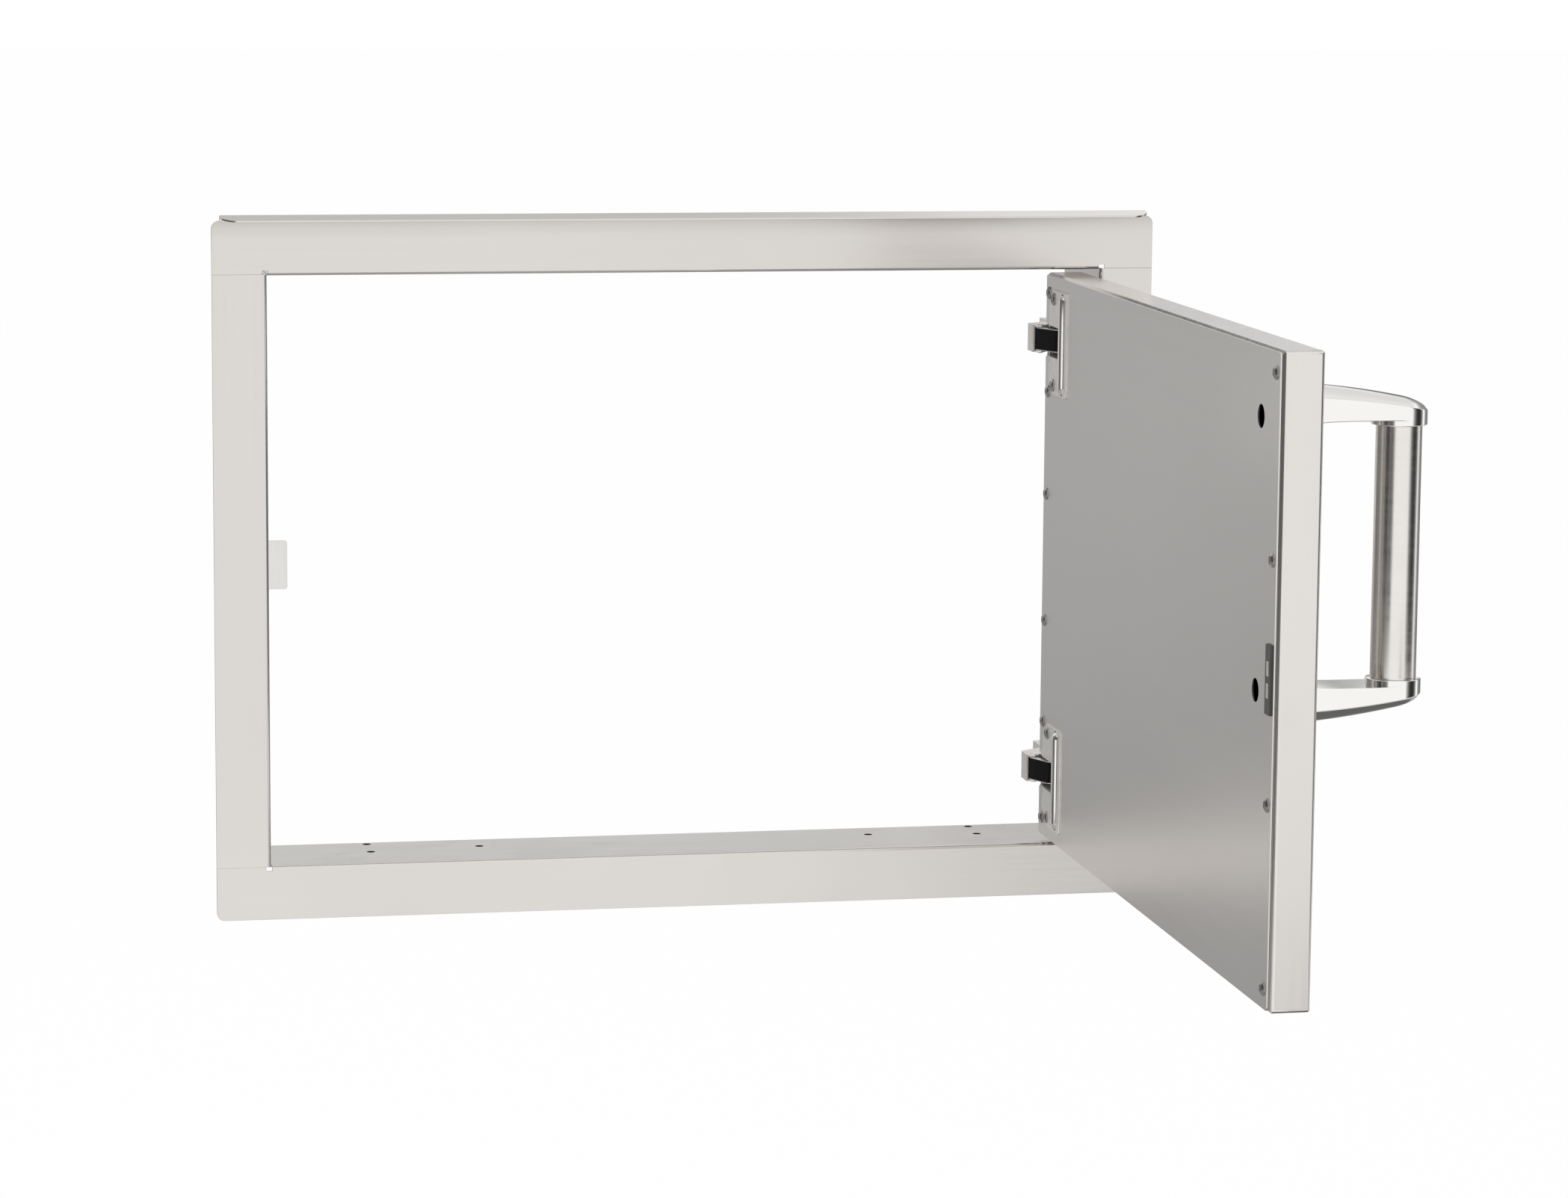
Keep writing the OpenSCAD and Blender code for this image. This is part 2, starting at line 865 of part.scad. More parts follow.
// The openings that the liner and the pan's flanges share
module hinge_and_catch_openings(y0, y1) {
    at_hinges()
        span_box(
            [cup_x - cup_w / 2 - slot_gap, y0, -cup_h / 2 - slot_gap],
            [cup_x + cup_w / 2 + slot_gap, y1, cup_h / 2 + slot_gap]
        );
    span_box(
        [catch_x - catch_w / 2 - slot_gap, y0, catch_z - catch_h / 2 - slot_gap],
        [catch_x + catch_w / 2 + slot_gap, y1, catch_z + catch_h / 2 + slot_gap]
    );
}

module liner_screw_rods(r, y0, y1) {
    for (z = hinge_side_z)
        rod_y(screw_x, y0, y1, z, r);
    for (z = free_side_z)
        rod_y(-screw_x, y0, y1, z, r);
}

module door_pan() {
    color(steel)
        on_door()
            difference() {
                pan_block(0);
                pan_block(pan_t);
                span_box(
                    [-pan_w / 2 + pan_flange_w, door_t / 2, -pan_h / 2 + pan_flange_h],
                    [pan_w / 2 - pan_flange_w, door_t + cut, pan_h / 2 - pan_flange_h]
                );
                hinge_and_catch_openings(door_t / 2, door_t + cut);
                liner_screw_rods(thread_d / 2 + hole_gap, door_t / 2, door_t + cut);
                for (side = [-1, 1])
                    rod_y(
                        handle_x, -cut, pan_t + cut,
                        handle_z + side * screw_z, handle_screw_d / 2 + hole_gap
                    );
            }
}

module door_liner() {
    liner_w = pan_w - liner_side - liner_side;
    liner_h = pan_h - liner_end - liner_end;
    slot_h = damper_l + slot_gap + slot_gap;
    color(dull)
        on_door()
            difference() {
                soft_plate(0, door_t, liner_y, 0, liner_w, liner_h, liner_r);
                hinge_and_catch_openings(door_t - cut, liner_y + cut);
                liner_screw_rods(thread_d / 2 + hole_gap, door_t - cut, liner_y + cut);
                for (side = [-1, 1])
                    rod_y(handle_x, door_t - cut, liner_y + cut, handle_z + side * screw_z, access_d / 2);
                at_hinges() {
                    span_box(
                        [damper_x - damper_d / 2 - slot_gap, door_t - cut, -slot_h / 2],
                        [damper_x + damper_d / 2 + slot_gap, liner_y + cut, slot_h / 2]
                    );
                    for (side = [-1, 1])
                        rod_y(cup_screw_x, door_t - cut, liner_y + cut, side * cup_screw_z, thread_d / 2 + hole_gap);
                }
            }
}

module liner_screws() {
    color(bright)
        on_door()
            for (side = [-1, 1])
                for (z = side > 0 ? hinge_side_z : free_side_z)
                    translate([side * screw_x, liner_y, z])
                        rotate([-90, 0, 0])
                            pan_screw(head_d, head_h, thread_d, thread_l);
}

// An open box in the door that takes the link when the door closes. The wall nearest the door's
// edge is lower, so that the link clears it when the door is fully open.
module cup_bodies() {
    color(bright)
        on_door()
            at_hinges()
                difference() {
                    span_box(
                        [cup_x - cup_w / 2, cup_floor_y, -cup_h / 2],
                        [cup_x + cup_w / 2, liner_y, cup_h / 2]
                    );
                    span_box(
                        [cup_x - cup_w / 2 + cup_t, cup_floor_y + cup_t, -cup_h / 2 + cup_t],
                        [cup_x + cup_w / 2 - cup_t, liner_y + cut, cup_h / 2 - cup_t]
                    );
                    span_box(
                        [cup_x + cup_w / 2 - cup_t - cut, door_t - pan_t, -cup_h],
                        [cup_x + cup_w / 2 + cut, liner_y + cut, cup_h]
                    );
                    translate([cup_closed[0], cup_closed[1], -cup_h])
                        cylinder(d = cup_pin_d + run_gap, h = cup_h + cup_h);
                }
}

module cup_pins() {
    color(bright)
        on_door()
            at_hinges()
                translate([cup_closed[0], cup_closed[1], -cup_h / 2])
                    cylinder(d = cup_pin_d, h = cup_h);
}

// The flange on the liner, with the cup's mouth, the damper's slot and two cut corners
module cup_flanges() {
    chamfer = plate_in * 0.8;
    color(bright)
        on_door()
            at_hinges()
                difference() {
                    soft_plate(plate_x, liner_y, liner_y + plate_t, 0, plate_w, plate_h, damper_d / 8);
                    for (side = [0, 1])
                        mirror([0, 0, side])
                            translate([plate_x + plate_w / 2, liner_y - cut, plate_h / 2])
                                rotate([-90, 0, 0])
                                    linear_extrude(height = plate_t + cut + cut)
                                        polygon([
                                            [-chamfer, -cut],
                                            [-chamfer, 0],
                                            [0, chamfer],
                                            [cut, chamfer],
                                            [cut, -cut]
                                        ]);
                    span_box(
                        [cup_x - cup_w / 2 + cup_t, liner_y - cut, -cup_h / 2 + cup_t],
                        [cup_x + cup_w / 2, liner_y + plate_t + cut, cup_h / 2 - cup_t]
                    );
                    span_box(
                        [cup_closed[0] - cup_arm, liner_y - cut, -cup_h / 2 - cup_t * 3],
                        [cup_closed[0], liner_y + plate_t + cut, -cup_h / 2]
                    );
                    span_box(
                        [damper_x - damper_d / 2 - slot_gap, liner_y - cut, damper_d / 2 - damper_l / 2],
                        [damper_x + damper_d / 2 + slot_gap, liner_y + plate_t + cut, damper_l / 2 - damper_d / 2]
                    );
                    for (side = [-1, 1]) {
                        rod_y(
                            damper_x, liner_y - cut, liner_y + plate_t + cut,
                            side * (damper_l - damper_d) / 2, damper_d / 2 + slot_gap
                        );
                        rod_y(
                            cup_screw_x, liner_y - cut, liner_y + plate_t + cut,
                            side * cup_screw_z, thread_d / 2 + hole_gap
                        );
                    }
                }
}

module cup_screws() {
    color(bright)
        on_door()
            at_hinges()
                for (side = [-1, 1])
                    translate([cup_screw_x, liner_y + plate_t, side * cup_screw_z])
                        rotate([-90, 0, 0])
                            pan_screw(head_d, head_h, thread_d, thread_l);
}

// The damper's barrel has a round end below and an open one above for its piston
module damper_barrels() {
    bore_r = damper_d * 0.28;
    color(bright)
        on_door()
            at_hinges()
                translate([damper_x, damper_y, 0])
                    difference() {
                        union() {
                            translate([0, 0, -damper_l / 2 + damper_d / 2])
                                cylinder(d = damper_d, h = damper_l - damper_d);
                            for (side = [-1, 1])
                                translate([0, 0, side * (damper_l / 2 - damper_d / 2)])
                                    sphere(d = damper_d);
                        }
                        translate([0, 0, -damper_l / 2 + damper_d])
                            cylinder(r = bore_r, h = damper_l - damper_d - damper_d);
                    }
}

module damper_pistons() {
    bore_r = damper_d * 0.28;
    color(dull)
        on_door()
            at_hinges()
                translate([damper_x, damper_y, -damper_l / 2 + damper_d])
                    union() {
                        cylinder(r = bore_r - run_gap, h = damper_d);
                        cylinder(r = bore_r * 0.45, h = damper_l - damper_d - damper_d);
                    }
}

module catch_housing() {
    shoulder = catch_h / 2 + pan_t;
    color(black)
        on_door()
            difference() {
                union() {
                    span_box(
                        [catch_x - catch_w / 2, catch_front_y - catch_d, catch_z - catch_h / 2],
                        [catch_x + catch_w / 2, catch_front_y, catch_z + catch_h / 2]
                    );
                    span_box(
                        [catch_x - catch_w / 2, catch_front_y - catch_d, catch_z - shoulder],
                        [catch_x + catch_w / 2, door_t - pan_t, catch_z + shoulder]
                    );
                }
                catch_pocket();
            }
}

// The pocket for the poles and the magnet behind them
module catch_pocket() {
    for (side = [-1, 1])
        pole_box(side, run_gap, catch_front_y + cut);
    magnet_box(run_gap);
}

module pole_box(side, gap, front_y) {
    middle = catch_z + side * (pole_gap + pole_h) / 2;
    span_box(
        [catch_x - pole_w / 2 - gap, catch_front_y - catch_d * 0.5, middle - pole_h / 2 - gap],
        [catch_x + pole_w / 2 + gap, front_y, middle + pole_h / 2 + gap]
    );
}

module magnet_box(gap) {
    span_box(
        [catch_x - pole_w / 2 - gap, catch_front_y - catch_d * 0.8, catch_z - pole_gap / 2 - pole_h - gap],
        [catch_x + pole_w / 2 + gap, catch_front_y - catch_d * 0.5, catch_z + pole_gap / 2 + pole_h + gap]
    );
}

module catch_poles() {
    color(bright)
        on_door()
            for (side = [-1, 1])
                pole_box(side, 0, catch_front_y + pole_front_up);
}

module catch_magnet() {
    color(grey)
        on_door()
            magnet_box(0);
}

// Height of the bracket's side and of its crown, at a share of the way to its end
function side_top(t) = bracket_low + bracket_h - (bracket_h - bracket_end_h) * (0.35 * t + 0.65 * t * t);
function side_low(t) = bracket_low - collar_t * 0.4 * max(0, 1 - 3 * t) * max(0, 1 - 3 * t);
function crown_at(t) = crown_h + (crown_end_h - crown_h) * t;
function ring_rise(q, t) = q < bevel_share
    ? bevel_h + crown_at(t) * (1 - pow(q / bevel_share, crown_power_share))
    : bevel_h * (1 - q) / (1 - bevel_share);

// Walks round the bracket at one ring: out along one side, round the end and back
function ring_path(q) = let (r = q * bracket_w / 2, n = len(bracket_station_shares)) concat(
    [for (i = [0 : n - 2]) [bracket_station_shares[i] * grip_out, r]],
    [for (i = [0 : bracket_arc_n]) [
        grip_out + r * sin(180 * i / bracket_arc_n),
        r * cos(180 * i / bracket_arc_n)
    ]],
    [for (i = [n - 2 : -1 : 0]) [bracket_station_shares[i] * grip_out, -r]]
);

// The bracket stands on the door at zero and reaches out along minus Y
module bracket_body() {
    reach = grip_out + bracket_w / 2;
    rings = len(bracket_ring_shares);
    count = len(ring_path(1));
    top = [for (q = bracket_ring_shares) for (p = ring_path(q))
        [p[1], -p[0], side_top(p[0] / reach) + ring_rise(q, p[0] / reach)]];
    low = [for (p = ring_path(1)) [p[1], -p[0], side_low(p[0] / reach)]];
    half = floor(count / 2);
    base = rings * count;
    outer = base - count;
    polyhedron(
        points = concat(top, low),
        faces = concat(
            [for (m = [0 : rings - 2]) for (k = [0 : count - 2])
                [m * count + k, m * count + k + 1, (m + 1) * count + k + 1]],
            [for (m = [0 : rings - 2]) for (k = [0 : count - 2])
                [m * count + k, (m + 1) * count + k + 1, (m + 1) * count + k]],
            [for (k = [0 : half - 1]) [k, count - 1 - k, k + 1]],
            [for (k = [0 : half - 2]) [k + 1, count - 1 - k, count - 2 - k]],
            [for (k = [0 : count - 2]) [outer + k, outer + k + 1, base + k + 1]],
            [for (k = [0 : count - 2]) [outer + k, base + k + 1, base + k]],
            [for (k = [0 : half - 1]) [base + k, base + k + 1, base + count - 1 - k]],
            [for (k = [0 : half - 2]) [base + k + 1, base + count - 2 - k, base + count - 1 - k]],
            [concat(
                [base],
                [base + count - 1],
                [for (m = [rings - 1 : -1 : 0]) m * count + count - 1],
                [for (m = [0 : rings - 1]) m * count]
            )]
        )
    );
}

module handle_bracket() {
    difference() {
        bracket_body();
        rod_y(0, -grip_out / 4, cut, screw_z, handle_screw_d / 2 + run_gap);
        translate([0, -grip_out, bracket_low - cut])
            cylinder(d = tie_d + run_gap + run_gap, h = tie_in + cut);
    }
}

// The rod that holds the grip between the brackets
tie_d = 6;
tie_in = 5;

module handle_bracket_upper() {
    color(bright)
        on_door()
            translate([handle_x, 0, handle_z])
                handle_bracket();
}

module handle_bracket_lower() {
    color(bright)
        on_door()
            translate([handle_x, 0, handle_z])
                mirror([0, 0, 1])
                    handle_bracket();
}

module handle_collars() {
    spigot_r = grip_d / 2 - grip_t - run_gap;
    color(bright)
        on_door()
            translate([handle_x, -grip_out, handle_z])
                for (side = [0, 1])
                    mirror([0, 0, side])
                        difference() {
                            union() {
                                translate([0, 0, grip_half])
                                    cylinder(d = bracket_w, h = collar_t);
                                translate([0, 0, grip_half - collar_t * 3])
                                    cylinder(r = spigot_r, h = collar_t * 3);
                            }
                            translate([0, 0, grip_half - collar_t * 4])
                                cylinder(d = tie_d + run_gap + run_gap, h = collar_t * 6);
                        }
}

module handle_grip() {
    color(steel)
        on_door()
            translate([handle_x, -grip_out, handle_z - grip_half])
                difference() {
                    cylinder(d = grip_d, h = grip_half + grip_half);
                    translate([0, 0, -cut])
                        cylinder(d = grip_d - grip_t - grip_t, h = grip_half + grip_half + cut + cut);
                }
}

module handle_tie_rod() {
    reach = bracket_low + tie_in - run_gap;
    color(dull)
        on_door()
            translate([handle_x, -grip_out, handle_z - reach])
                cylinder(d = tie_d, h = reach + reach);
}

module handle_screws() {
    color(bright)
        on_door()
            for (side = [-1, 1])
                translate([handle_x, pan_t + washer_t, handle_z + side * screw_z])
                    rotate([-90, 0, 0])
                        pan_screw(
                            handle_screw_d * 1.9, handle_screw_d * 0.6,
                            handle_screw_d, grip_out / 4 - run_gap
                        );
}

// Washers spread the handle screws' load on the pan
washer_t = 1;

module handle_washers() {
    color(bright)
        on_door()
            for (side = [-1, 1])
                difference() {
                    rod_y(
                        handle_x, pan_t, pan_t + washer_t,
                        handle_z + side * screw_z, handle_screw_d * 1.25
                    );
                    rod_y(
                        handle_x, pan_t - cut, pan_t + washer_t + cut,
                        handle_z + side * screw_z, handle_screw_d / 2 + hole_gap
                    );
                }
}

top_rail();
bottom_rail();
left_stile();
right_stile();
strike_plate();
strike_rivets();
mounting_plates();
mounting_screws();
mounting_nuts();
hinge_arms();
arm_screws();
arm_pivot_pins();
outer_links();
link_covers();
door_pan();
door_liner();
liner_screws();
cup_bodies();
cup_flanges();
cup_screws();
cup_pins();
damper_barrels();
damper_pistons();
catch_housing();
catch_poles();
catch_magnet();
handle_bracket_upper();
handle_bracket_lower();
handle_collars();
handle_grip();
handle_tie_rod();
handle_screws();
handle_washers();
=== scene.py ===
import math

import bmesh
import bpy
import numpy as np
from mathutils import Matrix, Vector


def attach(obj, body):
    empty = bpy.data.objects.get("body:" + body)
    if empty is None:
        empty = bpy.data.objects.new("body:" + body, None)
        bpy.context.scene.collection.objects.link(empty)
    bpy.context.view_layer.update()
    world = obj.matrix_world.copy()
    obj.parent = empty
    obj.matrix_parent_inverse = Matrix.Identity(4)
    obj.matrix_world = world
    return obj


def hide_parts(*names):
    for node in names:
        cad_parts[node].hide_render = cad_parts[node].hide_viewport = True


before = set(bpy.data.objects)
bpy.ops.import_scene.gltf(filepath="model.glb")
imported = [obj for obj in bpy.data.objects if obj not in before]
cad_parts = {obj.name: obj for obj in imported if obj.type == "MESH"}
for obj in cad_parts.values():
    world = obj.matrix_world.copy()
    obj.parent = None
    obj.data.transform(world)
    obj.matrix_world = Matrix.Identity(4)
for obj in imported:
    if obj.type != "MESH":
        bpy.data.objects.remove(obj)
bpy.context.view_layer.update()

# ---- Camera ------------------------------------------------------------------------------
# A long lens a little to the left of the opening and above its middle, looking down
# slightly, so that the open door is seen on its inner side. It turns 0.5 degrees on its axis.
EYE = Vector((-0.525706, -2.995090, 0.428354))
YAW, PITCH, ROLL = (math.radians(a) for a in (11.068, 8.396, 0.456))
PICTURE_WIDTH, FOCAL = 2098, 6653.25
SENSOR_WIDTH = 36

level = Vector((math.cos(YAW), -math.sin(YAW), 0))
ahead = Vector((math.sin(YAW) * math.cos(PITCH), math.cos(YAW) * math.cos(PITCH),
                -math.sin(PITCH)))
upright = level.cross(ahead)
right = math.cos(ROLL) * level + math.sin(ROLL) * upright
up = math.cos(ROLL) * upright - math.sin(ROLL) * level

camera = bpy.data.objects.new("camera", bpy.data.cameras.new("camera"))
camera.data.sensor_fit = "HORIZONTAL"
camera.data.sensor_width = SENSOR_WIDTH
camera.data.lens = SENSOR_WIDTH * FOCAL / PICTURE_WIDTH
camera.matrix_world = Matrix.Translation(EYE) @ Matrix(
    [[right[i], up[i], -ahead[i]] for i in range(3)]).to_4x4()
bpy.context.scene.collection.objects.link(camera)
bpy.context.scene.camera = camera

# ---- Studio ------------------------------------------------------------------------------
# A pale room: white where the camera, a mirror or glass looks at it, and a soft dome of
# light otherwise. The dome is brightest above and in front, and weaker behind.
DOME_BY_HEIGHT = [(0.0, 0.55), (0.5, 0.62), (1.0, 1.0)]
DOME_BY_DEPTH = [(0.0, 0.72), (1.0, 1.0)]
FLOOR_Z, FLOOR_HALF = -0.80, 30.0
PAPER_GREY, PAPER_GLOW, GLOW_SHARE = 0.93, 1.02, 0.9
LAMP_PLACE, LAMP_SIZE, LAMP_POWER = Vector((-1.6, -2.2, 2.6)), 2.4, 38
bpy.context.scene.view_settings.view_transform = "Standard"


def wire(tree, kind, inputs=None, **settings):
    """Adds a node to a tree, sets its properties, and fills its inputs by name or number. A
    socket given as a value is linked, and anything else is set on the input itself."""
    node = tree.nodes.new(kind)
    for key, value in settings.items():
        setattr(node, key, value)
    for key, value in (inputs or {}).items():
        if isinstance(value, bpy.types.NodeSocket):
            tree.links.new(value, node.inputs[key])
        else:
            node.inputs[key].default_value = value
    return node


def maths(tree, operation, a, b=0.0, clamp=False):
    """The result of one operation on two values, each a number or a socket."""
    return wire(tree, "ShaderNodeMath", {0: a, 1: b}, operation=operation,
                use_clamp=clamp).outputs[0]


def span(tree, value, low, high, new_low=0.0, new_high=1.0):
    """A value's range from low to high, stretched to the new range and clamped."""
    return wire(tree, "ShaderNodeMapRange",
                {0: value, 1: low, 2: high, 3: new_low, 4: new_high}).outputs[0]


def blended(tree, factor, a, b, **settings):
    """A colour from a, where the factor is 0, to b, where it is 1."""
    return wire(tree, "ShaderNodeMix", {"Factor": factor, 6: a, 7: b}, data_type="RGBA",
                **settings).outputs[2]


def ramp(tree, value, stops):
    """A grey that eases from stop to stop, each a pair of a place and a grey."""
    node = wire(tree, "ShaderNodeValToRGB", {0: value})
    node.color_ramp.interpolation = "EASE"
    while len(node.color_ramp.elements) < len(stops):
        node.color_ramp.elements.new(0.5)
    for element, (place, grey) in zip(node.color_ramp.elements, stops):
        element.position = place
        element.color = (grey, grey, grey, 1)
    return node.outputs[0]


def seen_directly(tree):
    """1 for rays of the camera, of reflections and through glass, and 0 for the rest."""
    path = wire(tree, "ShaderNodeLightPath").outputs
    first = maths(tree, "ADD", path["Is Camera Ray"], path["Is Glossy Ray"])
    return maths(tree, "ADD", first, path["Is Transmission Ray"], clamp=True)


world = bpy.data.worlds.new("studio")
bpy.context.scene.world = world
world.use_nodes = True
tree = world.node_tree
tree.nodes.clear()
way = wire(tree, "ShaderNodeSeparateXYZ",
           {0: wire(tree, "ShaderNodeTexCoord").outputs["Generated"]}).outputs
height = ramp(tree, span(tree, way["Z"], -1.0, 1.0), DOME_BY_HEIGHT)
depth = ramp(tree, span(tree, way["Y"], 1.0, -1.0), DOME_BY_DEPTH)
dome = blended(tree, 1.0, height, depth, blend_type="MULTIPLY")
shown = blended(tree, seen_directly(tree), dome, (1, 1, 1, 1))
wire(tree, "ShaderNodeOutputWorld",
     {0: wire(tree, "ShaderNodeBackground", {0: shown, 1: 1.0}).outputs[0]})


def make_object(name, mesh):
    """A mesh's object, at the origin, in the scene."""
    obj = bpy.data.objects.new(name, mesh)
    bpy.context.scene.collection.objects.link(obj)
    return obj


def sheet_mesh(name, corners):
    """One four-sided face from its corners."""
    mesh = bpy.data.meshes.new(name)
    mesh.from_pydata([tuple(c) for c in corners], [], [(0, 1, 2, 3)])
    return mesh


def new_material(name):
    """An empty material and its node tree."""
    m = bpy.data.materials.new(name)
    m.use_nodes = True
    m.node_tree.nodes.clear()
    return m, m.node_tree


def shader_mix(tree, factor, first, second):
    """The material's output: the first shader where the factor is 0, the second where 1."""
    wire(tree, "ShaderNodeOutputMaterial", {0: wire(tree, "ShaderNodeMixShader", {
        0: factor, 1: first.outputs[0], 2: second.outputs[0]}).outputs[0]})


floor = make_object("floor", sheet_mesh("floor", [
    (x * FLOOR_HALF, y * FLOOR_HALF, FLOOR_Z) for x, y in ((-1, -1), (1, -1), (1, 1), (-1, 1))]))
mat, tree = new_material("pale floor")
paper = wire(tree, "ShaderNodeBsdfDiffuse", {0: (PAPER_GREY, PAPER_GREY, PAPER_GREY, 1)})
glow = wire(tree, "ShaderNodeEmission", {0: (1, 1, 1, 1), 1: PAPER_GLOW})
shader_mix(tree, maths(tree, "MULTIPLY", seen_directly(tree), GLOW_SHARE), paper, glow)
floor.data.materials.append(mat)

# Grey cards stand out of the picture, round the island. Only reflections show them, as the
# soft dark and light bands that give brushed and polished metal its shape.


def grey_card(name, centre, across, upward, tones, soft=(6.0, 6.0)):
    """A card that only reflections see. Its grey runs from the first tone at its foot to the
    last at its top, and it fades out at its rim: its cover is (1 - u^a)(1 - v^b), where u and
    v run from -1 to 1 and the powers a and b are the values of soft."""
    c, a, b = (Vector(v) for v in (centre, across, upward))
    card = make_object(name, sheet_mesh(name, [c - a - b, c + a - b, c + a + b, c - a + b]))
    uv = card.data.uv_layers.new(name="card")
    uv.data.foreach_set("uv", [-1, -1, 1, -1, 1, 1, -1, 1])
    m, t = new_material(name)
    place = wire(t, "ShaderNodeSeparateXYZ",
                 {0: wire(t, "ShaderNodeUVMap", uv_map="card").outputs[0]}).outputs
    cover = 1.0
    for axis, power in zip("XY", soft):
        rim = maths(t, "POWER", maths(t, "ABSOLUTE", place[axis]), power)
        cover = maths(t, "MULTIPLY", maths(t, "SUBTRACT", 1.0, rim), cover)
    stops = [(k / (len(tones) - 1), v) for k, v in enumerate(tones)]
    tone = ramp(t, span(t, place["Y"], -1.0, 1.0), stops)
    clear = wire(t, "ShaderNodeBsdfTransparent")
    grey = wire(t, "ShaderNodeEmission", {0: tone, 1: 1.0})
    shader_mix(t, cover, clear, grey)
    card.data.materials.append(m)
    for kind in ("camera", "diffuse", "transmission", "volume_scatter", "shadow"):
        setattr(card, "visible_" + kind, False)


# The wall behind gives the liner and the top faces their grey. The corner at the right shades
# the handle. Of the three small cards before the wall, the high one is mirrored in the bend
# along the door's top, the low one in the door's top wall, and the pale one in the bottom rail.
grey_card("card_back", (-1.3, 4.2, 0.6), (2.9, 0, 0), (0, 0, 2.0),
          (0.44, 0.48, 0.62, 0.78, 0.9))
grey_card("card_behind_right", (2.605, 1.695, 0.5), (0.705, -1.405, 0), (0, 0, 2.2),
          (0.20, 0.22, 0.28, 0.5))
grey_card("card_high_back", (0.15, 4.1, 1.42), (1.05, 0, 0), (0, 0, 0.44),
          (0.03, 0.03), (6, 4))
grey_card("card_low_back", (1.45, 4.1, 0.66), (0.36, 0, 0), (0, 0, 0.21),
          (0.36, 0.36), (8, 6))
grey_card("card_pale_back", (-0.3, 4.12, 0.62), (1.25, 0, 0), (0, 0, 0.36),
          (0.82, 0.82), (8, 4))

# A dark card on the floor darkens the lower bracket's underside, and one white card beside
# each hinge makes the light band along its damper.
grey_card("card_below_handle", (0.70, -0.15, -0.785), (0.42, 0, 0), (0, 1.1, 0),
          (0.10, 0.13, 0.16))
for hinge, z in (("upper", 0.1065), ("lower", -0.170)):
    grey_card("card_by_" + hinge + "_hinge", (0.03, -0.118, z), (0, -0.068, 0), (0, 0, 0.036),
              (1.05, 1.05), (10, 10))

# The rest of the room: high and low at the right, the ground behind, the ceiling and the sides.
grey_card("card_high_right", (2.35, 3.9, 1.65), (0.5, -0.2, 0), (0, 0, 1.0),
          (0.12, 0.12, 0.2, 0.4))
grey_card("card_floor_right", (1.15, -2.3, -0.79), (0.40, 0.13, 0), (-0.1, 0.9, 0),
          (0.4, 0.4), (4, 4))
grey_card("card_under", (-0.6, 2.1, -0.79), (3.6, 0, 0), (0, 3.5, 0),
          (0.5, 0.42, 0.40, 0.42, 0.42), (6, 12))
grey_card("card_over", (0.0, 0.8, 3.0), (3.4, 0, 0), (0, 2.6, 0), (0.9, 0.76, 0.74, 0.76))
grey_card("card_left", (-2.5, -0.25, 0.2), (0.75, -3.25, 0), (0, 0, 2.4),
          (0.16, 0.12, 0.12, 0.3), (10, 6))
grey_card("card_right", (2.825, -1.435, 0.2), (0.725, 1.315, 0), (0, 0, 2.4),
          (0.06, 0.03, 0.03, 0.3), (3, 6))

lamp = bpy.data.objects.new("soft_lamp", bpy.data.lights.new("soft_lamp", "AREA"))
lamp.data.shape, lamp.data.size, lamp.data.energy = "SQUARE", LAMP_SIZE, LAMP_POWER
lamp.matrix_world = (Matrix.Translation(LAMP_PLACE)
                     @ LAMP_PLACE.to_track_quat("Z", "Y").to_matrix().to_4x4())
lamp.visible_glossy = False
bpy.context.scene.collection.objects.link(lamp)

# ---- Frame: rails and stiles -------------------------------------------------------------
# Four lengths of stainless sheet, folded into channels and butted at the corners. The faces were
# brushed along their length, and the screw holes in the depth were cut by laser. The rails'
# colour holds painted shade: a darker band under the lip and dark hole walls.
FLOAT, VECTOR = "NodeSocketFloat", "NodeSocketVector"
MIDDLE = (0.3, 0.7)  # where most of a noise's values lie
WIPE_WAVES = (260.0, 260.0, 900.0)


def effect_group(name, inputs, outputs):
    """An empty shader node group with named inputs and outputs. Each input is a name, a
    socket type and a default, and each output a name and a type."""
    group = bpy.data.node_groups.new(name, "ShaderNodeTree")
    for label, kind, default in inputs:
        socket = group.interface.new_socket(name=label, in_out="INPUT", socket_type=kind)
        if default is not None:
            socket.default_value = default
    for label, kind in outputs:
        group.interface.new_socket(name=label, in_out="OUTPUT", socket_type=kind)
    return (group, group.nodes.new("NodeGroupInput").outputs,
            group.nodes.new("NodeGroupOutput").inputs)


def noise(tree, place, waves, detail=2.0, roughness=0.5, distortion=0.0):
    """The value of a noise at a place, with so many waves per metre."""
    return wire(tree, "ShaderNodeTexNoise", {
        "Vector": place, "Scale": waves, "Detail": detail, "Roughness": roughness,
        "Distortion": distortion}).outputs[0]


def stretched(tree, place, waves):
    """A place whose axes are multiplied by the waves per metre along each."""
    return wire(tree, "ShaderNodeVectorMath", {0: place, 1: waves},
                operation="MULTIPLY").outputs[0]


def between(tree, factor, a, b):
    """A value from a, where the factor is 0, to b, where it is 1."""
    return wire(tree, "ShaderNodeMix", {"Factor": factor, 2: a, 3: b}).outputs[0]


